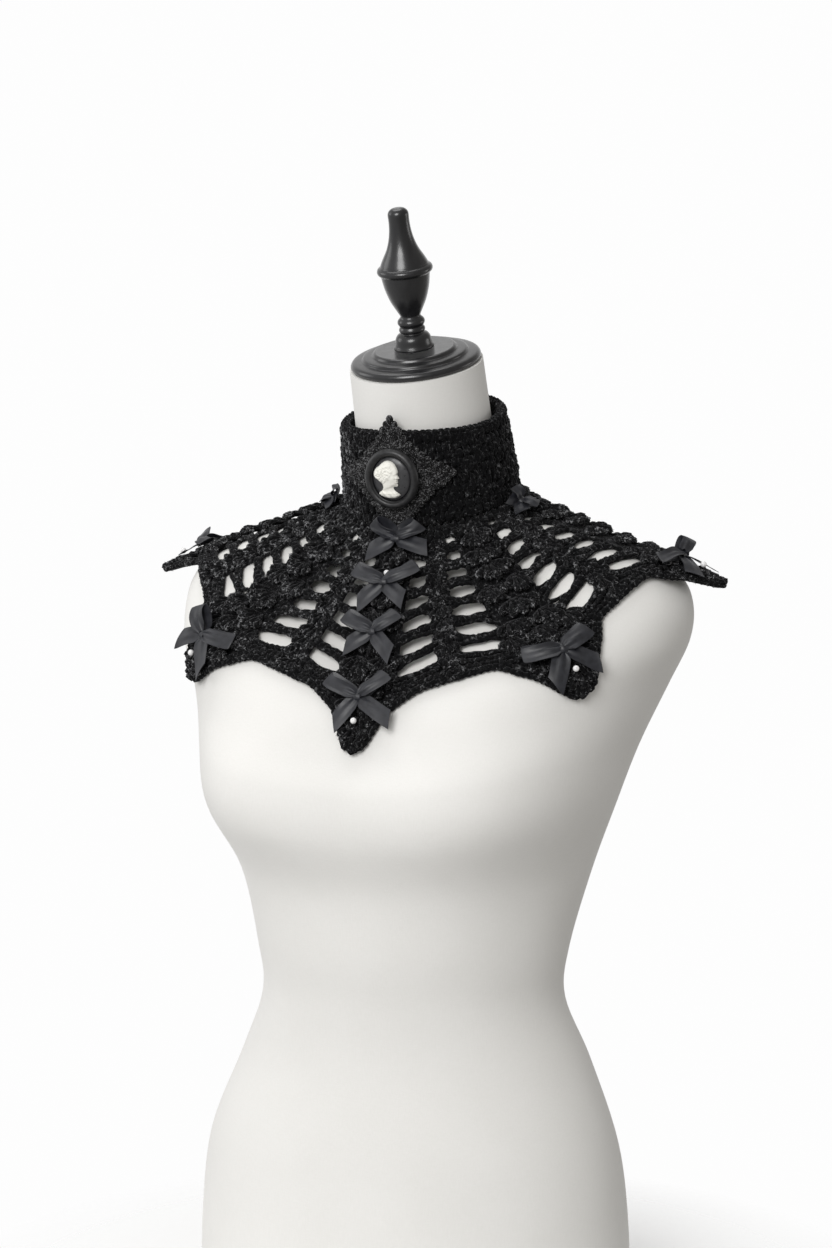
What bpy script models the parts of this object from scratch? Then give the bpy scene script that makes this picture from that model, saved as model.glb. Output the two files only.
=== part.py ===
"""Crochet capelet collar on a limbless dress form.

Metres, +Z up, the front towards -Y and the wearer's left towards +X. The form's flat base stands on z = 0.
Sizes below are in millimetres and angles in degrees, turned into metres as each mesh is made. A chart angle runs
round the garment from the centre front (0) over the wearer's left shoulder (90) to the centre back (180).
"""

import math
from collections import namedtuple

import bmesh
import bpy
from mathutils import Matrix, Vector

MM = 0.001
GAP = 0.35

# Dress form: rings from the neck's top to the base
NECK_LEAN = 16.5
NECK_TOP_LEAN = 17.8
NECK_AXIS_Y = 34.5
NECK_AXIS_Z = 568.0
FORM_COLUMNS = 40
FORM_RING_STEPS = (0, 1, 2, 2.5, 3, 3.5, 4, 4.5, 5, 5.5, 6, 6.5, 7, 7.5, 8, 8.5, 9, 9.5, 10, 10.5, 11, 11.5, 12, 13, 14,
                   15, 16, 17, 18, 18.8, 19)
Ring = namedtuple("Ring", "half_width front back centre_y z_side z_front z_back squareness z_bend")
FORM_RINGS = (
    Ring(47.5, 45.8, 45.8, 0.6, 675.4, 660.7, 690.1, 2.0, 1.0),
    Ring(49.0, 47.3, 47.3, 17.4, 624.0, 610.2, 637.8, 2.0, 1.0),
    Ring(51.5, 49.7, 49.7, 27.2, 592.0, 578.0, 606.0, 2.0, 1.0),
    Ring(56.0, 51.5, 53.0, 31.5, 574.0, 558.5, 586.0, 2.0, 1.3),
    Ring(92.0, 64.3, 68.0, 34.0, 563.6, 546.4, 573.0, 2.0, 2.0),
    Ring(130.0, 70.0, 78.0, 34.0, 552.0, 517.0, 556.0, 2.0, 2.0),
    Ring(165.0, 83.0, 84.0, 32.0, 540.0, 497.0, 540.0, 2.0, 2.0),
    Ring(189.0, 94.0, 88.0, 30.0, 526.0, 476.0, 520.0, 2.1, 2.0),
    Ring(197.0, 111.0, 90.0, 30.0, 507.0, 457.0, 498.0, 2.15, 2.0),
    Ring(192.0, 131.0, 93.0, 33.0, 482.0, 433.0, 470.0, 2.15, 2.0),
    Ring(176.0, 143.0, 95.0, 32.0, 450.0, 405.0, 440.0, 2.1, 2.0),
    Ring(159.0, 141.0, 95.0, 17.0, 408.0, 382.0, 400.0, 2.1, 2.0),
    Ring(147.0, 126.0, 92.0, 1.0, 366.0, 350.0, 360.0, 2.1, 2.0),
    Ring(129.0, 110.0, 87.0, 3.0, 318.0, 310.0, 316.0, 2.05, 2.0),
    Ring(115.0, 96.0, 84.0, -5.0, 262.0, 262.0, 262.0, 2.0, 2.0),
    Ring(112.0, 89.0, 86.0, -5.0, 225.0, 225.0, 225.0, 2.0, 2.0),
    Ring(130.0, 92.0, 95.0, -1.0, 180.0, 180.0, 180.0, 2.0, 2.0),
    Ring(152.0, 101.0, 110.0, -7.0, 120.0, 120.0, 120.0, 2.1, 2.0),
    Ring(159.0, 108.0, 120.0, -7.0, 60.0, 60.0, 60.0, 2.1, 2.0),
    Ring(160.0, 110.0, 122.0, -7.0, 0.0, 0.0, 0.0, 2.1, 2.0),
)
# Soft forms laid over the rings: the bust, and the hollow of the upper chest
Swell = namedtuple("Swell", "angle spread z z_spread height")
SWELLS = (
    Swell(38.0, 26.0, 380.0, 55.0, 16.0),
    Swell(60.0, 25.0, 520.0, 33.5, -22.0),
)

# Turned wood on the neck: radius and height above the neck's top, along its leaning axis
Turn = namedtuple("Turn", "radius height")
CAP_TURNS = (
    Turn(43.6, 0.0), Turn(46.2, 1.6), Turn(46.5, 3.6), Turn(44.8, 5.4), Turn(38.4, 6.2), Turn(37.6, 6.6),
    Turn(36.8, 8.3), Turn(30.6, 8.9), Turn(29.6, 10.6), Turn(27.6, 11.4),
)
CAP_SIDES = 36
FINIAL_TURNS = (
    Turn(14.2, 11.75), Turn(14.2, 13.4), Turn(13.2, 14.3), Turn(12.6, 18.4), Turn(11.2, 21.2), Turn(8.5, 22.8),
    Turn(9.2, 24.6), Turn(9.2, 26.2), Turn(8.4, 27.6), Turn(9.6, 29.6), Turn(9.6, 32.0), Turn(7.0, 35.0),
    Turn(9.0, 38.8), Turn(13.2, 47.6), Turn(15.9, 56.6), Turn(17.2, 65.6), Turn(19.2, 67.2), Turn(19.7, 69.2),
    Turn(18.8, 71.0), Turn(17.0, 72.0), Turn(15.9, 75.0), Turn(11.2, 83.7), Turn(8.4, 92.0), Turn(7.4, 99.0),
    Turn(7.4, 108.4), Turn(5.8, 111.2), Turn(2.2, 112.7),
)
FINIAL_SIDES = 18

# How the cloth lies on the form
DRAPE_START = 63.0
DRAPE_TILT = 15.3
DRAPE_SIDE_RISE = 8.0
DRAPE_STEP = 2.0
DRAPE_REACH = 190.0
DRAPE_AZIMUTH_STEP = 2.5
DRAPE_SMOOTHINGS = 12
DRAPE_FIRST_RING = 2.5
DRAPE_RING_STEP = 0.05
DRAPE_SAMPLES = 210
STIFF_SLOPE = 21.5
STIFF_BAND = 0.16
FAN_ANGLE = 13.9
FAN_REACH = 175.0
FAN_POWER = 1.3

# Yoke: a web of spines, ribs and openings between them
SPINE_ANGLE = 45.0
RIB_ANGLE = 22.5
OPENING_ANGLE = 13.7
INSIDE = 1.1
SEAM_HALF = 0.25
COLLAR_FOOT = 2.5
COLLAR_FOOT_PULL = 2.5
FOOT_HEIGHT = 4.5
Opening = namedtuple("Opening", "centre slant half_height half_angle")
OPENINGS = (
    Opening(6.2, 0.0, 2.5, 2.2),
    Opening(20.8, 0.0, 3.1, 2.7),
    Opening(35.8, 1.0, 3.7, 3.5),
    Opening(51.8, 3.0, 4.2, 4.1),
    Opening(68.0, 5.0, 4.3, 4.5),
    Opening(85.0, 8.0, 4.4, 4.8),
    Opening(101.6, 10.0, 4.4, 5.1),
)
OPENING_END_SHARE = 0.7
Hem = namedtuple("Hem", "leaf_base leaf_base_half beside_leaf middle rib")
HEM = Hem(134.0, 34.0, 123.0, 121.0, 120.5)
LEAF_BASE_MOST = 11.0
LeafRow = namedtuple("LeafRow", "distance width_share height")
LEAF_ROWS = (
    LeafRow(143.0, 0.80, 8.0),
    LeafRow(151.0, 0.63, 8.5),
    LeafRow(158.5, 0.48, 7.5),
    LeafRow(165.0, 0.32, 7.0),
    LeafRow(169.0, 0.14, 5.5),
)
SHELL_LOW = 7.2
SHELL_HIGH = 9.6
CHAIN_HEIGHT = 4.6
RIB_HEIGHT = 5.6
RISE_DISTANCE = 36.0
FRONT_SEAM = 25
BACK_SEAM = 40

# Collar stand
COLLAR_HEIGHT = 79.5
COLLAR_SIDE_DROP = 5.5
COLLAR_RADIUS = 63.2
COLLAR_TAPER = 5.5
COLLAR_WALL = 5.0
COLLAR_ROWS = 8
COLLAR_RIDGE = 0.7
COLLAR_COLUMNS = 36
COLLAR_SLIT_HALF = 0.5
SEAM_LEVEL = 9.2
SEAM_SIDE_RISE = 3.0
SEAM_INNER_DROP = 1.5
CORNER_START = -5.0
CORNER_END = 5.0
CORNER_LEVEL = 10.2
CORNER_DROP = 2.6

# Throat medallion and its brooch
MEDALLION_LEVEL = 48.0
MEDALLION_REACH = 42.0
MEDALLION_POWER = 0.86
MEDALLION_THICK = 2.2
MEDALLION_SIDES = 32
MEDALLION_RINGS = (0.45, 0.8, 1.0)
MEDALLION_LIFT = 1.5
MEDALLION_FLARE_LEVEL = 16.0
MEDALLION_FLARE = 0.3
FRAME_HALF_WIDTH = 20.0
FRAME_HALF_HEIGHT = 21.6
STONE_HALF_WIDTH = 13.9
STONE_HALF_HEIGHT = 15.5
BROOCH_LIFT = 7.6
BROOCH_FOOT = 3.0
BROOCH_SIDES = 28
BroochRow = namedtuple("BroochRow", "inset height")
FRAME_ROWS = (
    BroochRow(1.2, 0.0), BroochRow(0.0, 1.6), BroochRow(0.9, 4.4), BroochRow(3.0, 5.4), BroochRow(4.6, 4.4),
    BroochRow(5.7, 2.4), BroochRow(5.7, 0.0),
)
STONE_ROWS = (BroochRow(0.0, 0.6), BroochRow(0.0, 2.6), BroochRow(2.2, 4.0), BroochRow(6.5, 5.0))
# The bust's plain outline on the stone, across and up from its middle, and its rings: share of it and height
RELIEF_OUTLINE = (
    (-7.6, -11.0), (-4.6, -13.2), (0.2, -13.6), (3.4, -13.0), (4.8, -11.3), (3.4, -9.0), (2.4, -7.0), (2.3, -5.4),
    (4.6, -4.7), (5.5, -3.2), (5.9, -1.0), (7.0, 0.9), (6.0, 3.1), (6.2, 5.8), (5.0, 9.2), (3.2, 11.6), (0.4, 13.0),
    (-2.8, 13.0), (-6.0, 11.4), (-8.6, 9.0), (-11.0, 6.8), (-12.3, 3.8), (-11.6, 1.4), (-9.4, -0.8), (-6.6, -3.0),
    (-5.8, -5.6), (-6.6, -8.0),
)
RELIEF_CENTRE = (-2.5, 0.0)
RELIEF_LIFT = 0.6
ReliefRing = namedtuple("ReliefRing", "share rise")
RELIEF_RINGS = (
    ReliefRing(0.45, 0.0), ReliefRing(0.75, 0.0), ReliefRing(1.0, 0.0), ReliefRing(1.0, 0.7), ReliefRing(0.72, 1.6),
    ReliefRing(0.45, 1.7),
)

# Satin bows, one half of the flat shape: across, outward, rise above the seat
BowPoint = namedtuple("BowPoint", "across outward seat rise")
BOW_HALF = {
    "knot_top": BowPoint(3.0, -3.2, 0.0, 4.6),
    "knot_side": BowPoint(3.8, 1.6, 0.0, 4.6),
    "loop_mid_top": BowPoint(12.5, -9.5, -0.2, 5.0),
    "loop_mid_low": BowPoint(13.0, 2.6, -0.2, 4.4),
    "loop_end_top": BowPoint(22.0, -11.5, -2.2, 3.0),
    "loop_end_low": BowPoint(23.5, 0.4, -2.2, 2.6),
    "tail_mid_top": BowPoint(12.5, 8.5, -0.2, 1.6),
    "tail_mid_low": BowPoint(6.5, 13.5, -0.1, 1.6),
    "tail_end_top": BowPoint(20.5, 15.5, -1.8, 1.4),
    "tail_end_low": BowPoint(14.5, 22.5, -0.6, 1.4),
}
BOW_KNOT_FOOT = BowPoint(0.0, 4.0, 0.0, 4.0)
BowPlace = namedtuple("BowPlace", "name angle distance seat turn size")
BOWS = (
    BowPlace("bow_front_1", 0.8, 3.4, 8.4, 6.0, 0.84),
    BowPlace("bow_front_2", 0.0, 38.5, 10.1, -8.0, 1.0),
    BowPlace("bow_front_3", 0.0, 77.0, 10.5, 5.0, 1.0),
    BowPlace("bow_front_4", 0.0, 126.5, 10.3, -4.0, 1.08),
    BowPlace("bow_front_left", 45.0, 131.0, 9.0, 6.0, 1.05),
    BowPlace("bow_front_right", -45.0, 131.0, 9.3, -4.0, 1.05),
    BowPlace("bow_shoulder_left", 90.0, 128.0, 8.9, 0.0, 1.0),
    BowPlace("bow_shoulder_right", -90.0, 128.0, 8.9, 0.0, 1.0),
    BowPlace("bow_back_left", 135.0, 130.0, 9.4, 4.0, 1.0),
    BowPlace("bow_back_right", -135.0, 130.0, 11.0, -4.0, 1.0),
    BowPlace("bow_back_centre", 180.0, 128.0, 10.3, 3.0, 1.0),
)

# The bows beside the collar: distance and height of the knot and of the lying loop, level and height of the other
COLLAR_BOW_KNOT = (10.5, 9.0)
COLLAR_BOW_LYING = (40.0, 10.3)
COLLAR_BOW_STANDING = (50.0, 5.0)

PEARL_RADIUS = 2.2
PearlPlace = namedtuple("PearlPlace", "name angle distance height")
PEARLS = (
    PearlPlace("pearl_front_spine", 0.0, 31.0, 7.8),
    PearlPlace("pearl_front", 0.0, 144.0, 8.5),
    PearlPlace("pearl_front_left", 45.0, 145.0, 8.0),
    PearlPlace("pearl_front_right", -45.0, 145.0, 8.0),
    PearlPlace("pearl_shoulder_left", 90.0, 145.0, 8.5),
    PearlPlace("pearl_shoulder_right", -90.0, 145.0, 8.5),
    PearlPlace("pearl_back_left", 135.0, 145.0, 8.5),
    PearlPlace("pearl_back_right", -135.0, 145.0, 8.5),
)

BUTTON_RADIUS = 5.5
BUTTON_THICK = 2.6
BUTTON_LIFT = 0.35
BUTTON_ANGLE = 173.5
BUTTON_LEVELS = (22.0, 43.5, 65.0)

Finish = namedtuple("Finish", "name colour roughness metallic")
JERSEY = Finish("cream_jersey", (0.86, 0.85, 0.82), 0.85, 0.0)
BLACK_WOOD = Finish("black_satin_wood", (0.03, 0.03, 0.032), 0.35, 0.0)
CHENILLE = Finish("black_chenille", (0.015, 0.015, 0.016), 0.9, 0.0)
THREAD = Finish("black_cotton_thread", (0.02, 0.02, 0.02), 0.8, 0.0)
SATIN = Finish("black_satin_ribbon", (0.03, 0.03, 0.036), 0.4, 0.0)
RESIN = Finish("black_matt_resin", (0.02, 0.02, 0.021), 0.5, 0.0)
IVORY = Finish("ivory_resin", (0.88, 0.86, 0.8), 0.5, 0.0)
PEARL = Finish("white_pearl", (0.93, 0.92, 0.9), 0.2, 0.0)


def clear_scene():
    """Remove every object of the open scene."""
    for item in list(bpy.data.objects):
        bpy.data.objects.remove(item, do_unlink=True)


def material(finish):
    """The Principled material of a finish, made once."""
    found = bpy.data.materials.get(finish.name)
    if found:
        return found
    made = bpy.data.materials.new(finish.name)
    made.use_nodes = True
    shader = made.node_tree.nodes["Principled BSDF"]
    shader.inputs["Base Color"].default_value = (*finish.colour, 1.0)
    shader.inputs["Roughness"].default_value = finish.roughness
    shader.inputs["Metallic"].default_value = finish.metallic
    return made


def add_object(name, points, faces, finish, smooth_angle=60.0):
    """One closed mesh object from points in millimetres and faces that wind outward."""
    mesh = bpy.data.meshes.new(name)
    mesh.from_pydata([tuple(value * MM for value in point) for point in points], [], faces)
    mesh.validate()
    mesh.shade_smooth()
    mesh.set_sharp_from_angle(angle=math.radians(smooth_angle))
    mesh.materials.append(material(finish))
    made = bpy.data.objects.new(name, mesh)
    bpy.context.collection.objects.link(made)
    return made


def blend(low, high, share):
    """The value that lies a share of the way from low to high."""
    return low + (high - low) * share


def curve_row(rows, position):
    """A row of a table read between its rows along a Catmull-Rom curve."""
    last = len(rows) - 1
    index = min(int(position), last - 1)
    u = position - index
    after = rows[index]
    before = rows[index + 1]
    left = rows[index - 1] if index else tuple(2 * a - b for a, b in zip(after, before))
    right = rows[index + 2] if index + 2 <= last else tuple(2 * b - a for a, b in zip(after, before))
    values = []
    for p0, p1, p2, p3 in zip(left, after, before, right):
        line = 2 * p1 + (p2 - p0) * u
        bend = (2 * p0 - 5 * p1 + 4 * p2 - p3) * u * u
        twist = (3 * p1 - p0 - 3 * p2 + p3) * u * u * u
        values.append((line + bend + twist) / 2)
    return values


def form_point(angle, position):
    """A point of the form's skin at a chart angle, on the ring at a position in the table."""
    ring = Ring(*curve_row(FORM_RINGS, position))
    across = math.sin(math.radians(angle))
    ahead = math.cos(math.radians(angle))
    depth = ring.front if ahead > 0 else ring.back
    power = ring.squareness
    reach = ((abs(across) / ring.half_width) ** power + (abs(ahead) / depth) ** power) ** (-1 / power)
    far_z = ring.z_front if ahead > 0 else ring.z_back
    z = blend(ring.z_side, far_z, abs(ahead) ** ring.z_bend)
    for swell in SWELLS:
        aside = (abs(angle) - swell.angle) / swell.spread
        above = (z - swell.z) / swell.z_spread
        reach += swell.height * math.exp(-(aside**2) - above**2)
    return Vector((reach * across, ring.centre_y - reach * ahead, z))


def form_at_azimuth(azimuth, position):
    """The point of a ring of the form that lies at an azimuth round the neck's axis."""
    angle = azimuth
    for _ in range(4):
        point = form_point(angle, position)
        angle += azimuth - math.degrees(math.atan2(point.x, NECK_AXIS_Y - point.y))
    return form_point(angle, position)


def upper_hull(points):
    """The line that a taut cloth takes over points that run outward."""
    hull = []
    for point in points:
        while len(hull) > 1:
            (x1, y1), (x2, y2) = hull[-2:]
            if (x2 - x1) * (point[1] - y1) - (y2 - y1) * (point[0] - x1) < 0:
                break
            hull.pop()
        hull.append(point)
    return hull


def stiffened(line, angle):
    """The line, carried straight on where stiff cloth no longer follows the form down."""
    side = abs(math.sin(math.radians(angle)))
    limit = blend(STIFF_SLOPE, 90.0, min(1.0, (1.0 - side) / STIFF_BAND))
    for index in range(1, len(line) - 1):
        (x1, y1), (x2, y2) = line[index : index + 2]
        if math.degrees(math.atan2(y1 - y2, x2 - x1)) > limit:
            run = math.radians(limit)
            end = (x1 + DRAPE_REACH * math.cos(run), y1 - DRAPE_REACH * math.sin(run))
            return line[: index + 1] + [end]
    return line


def even_steps(line):
    """Points at even steps along a line."""
    steps = int(DRAPE_REACH / DRAPE_STEP) + 1
    found = []
    walked = 0.0
    index = 0
    for step in range(steps):
        want = step * DRAPE_STEP
        while index < len(line) - 2 and walked + math.dist(line[index], line[index + 1]) < want:
            walked += math.dist(line[index], line[index + 1])
            index += 1
        share = (want - walked) / math.dist(line[index], line[index + 1])
        start, end = line[index], line[index + 1]
        found.append((blend(start[0], end[0], share), blend(start[1], end[1], share)))
    for _ in range(DRAPE_SMOOTHINGS):
        middle = [
            ((a[0] + 2 * b[0] + c[0]) / 4, (a[1] + 2 * b[1] + c[1]) / 4)
            for a, b, c in zip(found, found[1:], found[2:])
        ]
        found = [found[0], *middle, found[-1]]
    return found


def drape_line(angle):
    """The cloth's line at one azimuth: distance from the neck's axis and height, in even steps outward."""
    across = math.sin(math.radians(angle))
    ahead = math.cos(math.radians(angle))
    tilt = math.sin(math.radians(DRAPE_TILT)) * ahead
    line = [(DRAPE_START, NECK_AXIS_Z - DRAPE_START * tilt + DRAPE_SIDE_RISE * across**2)]
    for step in range(DRAPE_SAMPLES):
        point = form_at_azimuth(angle, DRAPE_FIRST_RING + step * DRAPE_RING_STEP)
        distance = point.x * across - (point.y - NECK_AXIS_Y) * ahead
        if distance > DRAPE_START + DRAPE_STEP:
            line.append((distance, point.z))
    return even_steps(stiffened(upper_hull(line), angle))


DRAPE = [drape_line(step * DRAPE_AZIMUTH_STEP) for step in range(int(180 / DRAPE_AZIMUTH_STEP) + 1)]


def fanned(angle, distance):
    """The azimuth that a chart angle has reached at a distance, as the rays open over the chest."""
    reach = (max(distance, 0.0) / FAN_REACH) ** FAN_POWER
    return angle + FAN_ANGLE * reach * math.sin(2 * math.radians(angle))


def fan_stretch(angle, distance):
    """How much wider a step of chart angle is at a distance than a plain circle's."""
    reach = (max(distance, 0.0) / FAN_REACH) ** FAN_POWER
    return 1.0 + 2 * math.radians(FAN_ANGLE) * reach * math.cos(2 * math.radians(angle))


def drape_point(angle, distance):
    """A point of the cloth's seat at a chart angle and a distance outward from the collar."""
    azimuth = fanned(angle, distance)
    folded = abs((azimuth + 180.0) % 360.0 - 180.0)
    column = min(folded / DRAPE_AZIMUTH_STEP, len(DRAPE) - 1.001)
    row = min(distance / DRAPE_STEP, len(DRAPE[0]) - 1.001)
    low_column = int(column)
    low_row = max(int(row), 0)
    ends = []
    for line in DRAPE[low_column : low_column + 2]:
        start, end = line[low_row : low_row + 2]
        ends.append((blend(start[0], end[0], row - low_row), blend(start[1], end[1], row - low_row)))
    radius = blend(ends[0][0], ends[1][0], column - low_column)
    z = blend(ends[0][1], ends[1][1], column - low_column)
    turn = math.radians(azimuth)
    return Vector((radius * math.sin(turn), NECK_AXIS_Y - radius * math.cos(turn), z))


def chart_frame(angle, distance):
    """The seat's point with unit vectors to the chart's right, outward along it, and away from the form."""
    point = drape_point(angle, distance)
    right = (drape_point(angle + 1.0, distance) - drape_point(angle - 1.0, distance)).normalized()
    outward = (drape_point(angle, distance + 3.0) - drape_point(angle, distance - 3.0)).normalized()
    away = outward.cross(right).normalized()
    return point, right, outward, away


def cloth_point(angle, distance, height, shift=0.0):
    """A point at a height over the cloth's seat, moved sideways by a shift."""
    point, right, _outward, away = chart_frame(angle, distance)
    return point + away * height + right * shift


def side_angle(spine, distance, across):
    """The chart angle that lies a width to the side of a spine."""
    radius = DRAPE_START + distance
    return spine + math.degrees(across / (radius * fan_stretch(spine, distance)))


def shell(cells, outer, inner):
    """Close cells into a wall: outer faces, inner faces and a side on each free edge."""
    keys = sorted({key for cell in cells for key in cell})
    number = {key: index for index, key in enumerate(keys)}
    count = len(keys)
    points = [outer[key] for key in keys] + [inner[key] for key in keys]
    faces = [tuple(number[key] for key in cell) for cell in cells]
    faces += [tuple(number[key] + count for key in reversed(cell)) for cell in cells]
    edges = {edge for cell in cells for edge in zip(cell, cell[1:] + cell[:1])}
    for start, end in sorted(edges):
        if (end, start) in edges:
            continue
        side = (number[end], number[start], number[start] + count, number[end] + count)
        faces.append(side if number[start] < number[end] else side[1:] + side[:1])
    return points, faces


def ring_faces(rings, sides, closed_ends=True):
    """Faces of a stack of rings, each ring's points in order, the first ring at the bottom."""
    faces = []
    for ring in range(rings - 1):
        for side in range(sides):
            low = ring * sides
            step = (side + 1) % sides
            faces.append((low + side, low + step, low + sides + step, low + sides + side))
    if closed_ends:
        faces.append(tuple(reversed(range(sides))))
        faces.append(tuple(range((rings - 1) * sides, rings * sides)))
    return faces


def build_form():
    """The limbless body and neck, a closed loft of its rings on a flat base."""
    points = []
    for position in reversed(FORM_RING_STEPS):
        for column in range(FORM_COLUMNS):
            angle = column * 360.0 / FORM_COLUMNS
            points.append(form_point(angle if angle <= 180.0 else angle - 360.0, position))
    return add_object("form_torso", points, ring_faces(len(FORM_RING_STEPS), FORM_COLUMNS), JERSEY)


def neck_axes(lean=NECK_LEAN):
    """The neck's leaning axis: its foot, its direction and its front in the tilted plane."""
    lean = math.radians(lean)
    foot = Vector((0.0, NECK_AXIS_Y, NECK_AXIS_Z))
    upward = Vector((0.0, -math.sin(lean), math.cos(lean)))
    front = Vector((0.0, -math.cos(lean), -math.sin(lean)))
    return foot, upward, front


def neck_top():
    """The middle of the neck's flat top."""
    top = FORM_RINGS[0]
    return Vector((0.0, top.centre_y, top.z_side))


def turned(name, turns, sides, finish):
    """A turned solid on the neck's top from its profile."""
    _foot, upward, front = neck_axes(NECK_TOP_LEAN)
    middle = neck_top() + upward * GAP
    points = []
    for turn in turns:
        for side in range(sides):
            angle = 2 * math.pi * side / sides
            spoke = Vector((1, 0, 0)) * math.sin(angle) + front * math.cos(angle)
            points.append(middle + upward * turn.height + spoke * turn.radius)
    return add_object(name, points, ring_faces(len(turns), sides), finish, 40.0)


def collar_radius(level):
    """The collar's outer radius at a level along its axis."""
    return COLLAR_RADIUS - COLLAR_TAPER * (max(level, 0.0) / COLLAR_HEIGHT) ** 1.8


def collar_top(angle):
    """The level of the collar's top edge, highest at the front and lower from the shoulders to the back."""
    across = math.sin(math.radians(angle))
    return COLLAR_HEIGHT - COLLAR_SIDE_DROP * (across * across if abs(angle) < 90.0 else 1.0)


def collar_point(angle, level, height=0.0):
    """A point of the collar's outer face at a chart angle, moved out by a height."""
    foot, upward, front = neck_axes()
    spoke = Vector((1, 0, 0)) * math.sin(math.radians(angle)) + front * math.cos(math.radians(angle))
    return foot + upward * level + spoke * (collar_radius(level) + height)


def seam_points(angle, shift, lift):
    """Outer and inner points of the seam between yoke and collar, moved sideways and up the collar."""
    turned_angle = angle + math.degrees(shift / COLLAR_RADIUS)
    level = SEAM_LEVEL + SEAM_SIDE_RISE * math.sin(math.radians(angle)) ** 2 + lift
    outer = collar_point(turned_angle, level)
    inner = collar_point(turned_angle, level - SEAM_INNER_DROP, -COLLAR_WALL)
    return outer, inner


def column_spine(column):
    """The spine that a column belongs to, and its place beside it, from -5 to 5."""
    spine = round(column / 10)
    return spine, column - 10 * spine


def spine_side(place):
    """-1, 0 or 1 for a column's side of its spine."""
    return (place > 0) - (place < 0)


def web_place(column, row):
    """Chart angle, distance and outer height of the web's crossing of a column and a row line."""
    spine, place = column_spine(column)
    step = abs(place)
    opening = OPENINGS[min(max((row - 2) // 2, 0), len(OPENINGS) - 1)]
    inner = OPENING_ANGLE - opening.half_angle
    offsets = (0.0, inner / 2, inner, OPENING_ANGLE, OPENING_ANGLE + opening.half_angle, RIB_ANGLE)
    angle = offsets[step]
    heights = (SHELL_LOW, SHELL_LOW - 0.6, CHAIN_HEIGHT, CHAIN_HEIGHT, CHAIN_HEIGHT, RIB_HEIGHT)
    if row < 2:
        steep = abs(math.cos(math.radians(spine * SPINE_ANGLE + spine_side(place) * angle)))
        distance = COLLAR_FOOT - COLLAR_FOOT_PULL * steep
        height = FOOT_HEIGHT
    elif row < 2 + 2 * len(OPENINGS):
        slant = (0.5, 0.5, 0.5, 0.0, -0.5, -0.5)[step] * opening.slant
        share = 1.0 if step == 3 else OPENING_END_SHARE
        outer_line = (row - 2) % 2
        distance = opening.centre + slant + (2 * outer_line - 1) * opening.half_height * share
        height = heights[step]
        if outer_line:
            height = (SHELL_HIGH, SHELL_HIGH - 0.8, CHAIN_HEIGHT + 0.8, CHAIN_HEIGHT, CHAIN_HEIGHT, RIB_HEIGHT)[step]
        height = blend(FOOT_HEIGHT + 0.3, height, min(1.0, distance / RISE_DISTANCE))
    else:
        base = side_angle(spine * SPINE_ANGLE, HEM.leaf_base, HEM.leaf_base_half) - spine * SPINE_ANGLE
        base = min(base, LEAF_BASE_MOST)
        angle = (0.0, base / 2, base, OPENING_ANGLE, OPENING_ANGLE + opening.half_angle, RIB_ANGLE)[step]
        distance = (
            HEM.leaf_base - 2.0, HEM.leaf_base - 1.0, HEM.leaf_base, HEM.beside_leaf, HEM.middle, HEM.rib,
        )[step]
        height = (SHELL_LOW, SHELL_LOW - 0.4, CHAIN_HEIGHT, CHAIN_HEIGHT, CHAIN_HEIGHT, CHAIN_HEIGHT)[step]
    return spine * SPINE_ANGLE + spine_side(place) * angle, distance, height


def leaf_place(column, leaf_row):
    """Chart angle, distance and outer height of a leaf point's crossing."""
    spine, place = column_spine(column)
    row = LEAF_ROWS[leaf_row]
    base_angle = web_place(10 * spine + 2, 2 + 2 * len(OPENINGS))[0] - spine * SPINE_ANGLE
    stretch = (DRAPE_START + HEM.leaf_base) * fan_stretch(spine * SPINE_ANGLE, HEM.leaf_base)
    base_half = math.radians(base_angle) * stretch
    across = base_half * row.width_share * place / 2
    distance = row.distance - 1.2 * abs(place)
    height = blend(row.height, CHAIN_HEIGHT, abs(place) / 2)
    return side_angle(spine * SPINE_ANGLE, distance, across), distance, height


def is_open(column, row):
    """Whether the cell right of a column and below a row line is one of the web's openings."""
    places = {column_spine(column)[1], column_spine(column + 1)[1]}
    if 5 in {abs(place) for place in places} or row < 2 or row >= 2 + 2 * len(OPENINGS):
        return False
    beside_spine = {abs(place) for place in places} <= {2, 3, 4}
    return beside_spine and (row - 2) % 2 == 0


def build_yoke(name, first, last):
    """A stretch of the web between two columns, a cut-through wall with its leaf points."""
    rows = 2 + 2 * len(OPENINGS)
    cells = []
    for column in range(first, last):
        for row in range(rows):
            if not is_open(column, row):
                cells.append(((column, row), (column, row + 1), (column + 1, row + 1), (column + 1, row)))
        for leaf_row in range(len(LEAF_ROWS)):
            row = rows + leaf_row
            if max(abs(column_spine(column)[1]), abs(column_spine(column + 1)[1])) <= 2:
                cells.append(((column, row), (column, row + 1), (column + 1, row + 1), (column + 1, row)))
    outer = {}
    inner = {}
    for key in {key for cell in cells for key in cell}:
        column, row = key
        place = web_place(column, row) if row <= rows else leaf_place(column, row - rows - 1)
        angle, distance, height = place
        shift = SEAM_HALF * ((column == first) - (column == last))
        if row == 0:
            outer[key], inner[key] = seam_points(angle, shift, -GAP / 2)
        else:
            outer[key] = cloth_point(angle, distance, height, shift)
            inner[key] = cloth_point(angle, distance, INSIDE, shift)
    points, faces = shell(cells, outer, inner)
    return add_object(name, points, faces, CHENILLE, 75.0)


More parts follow.
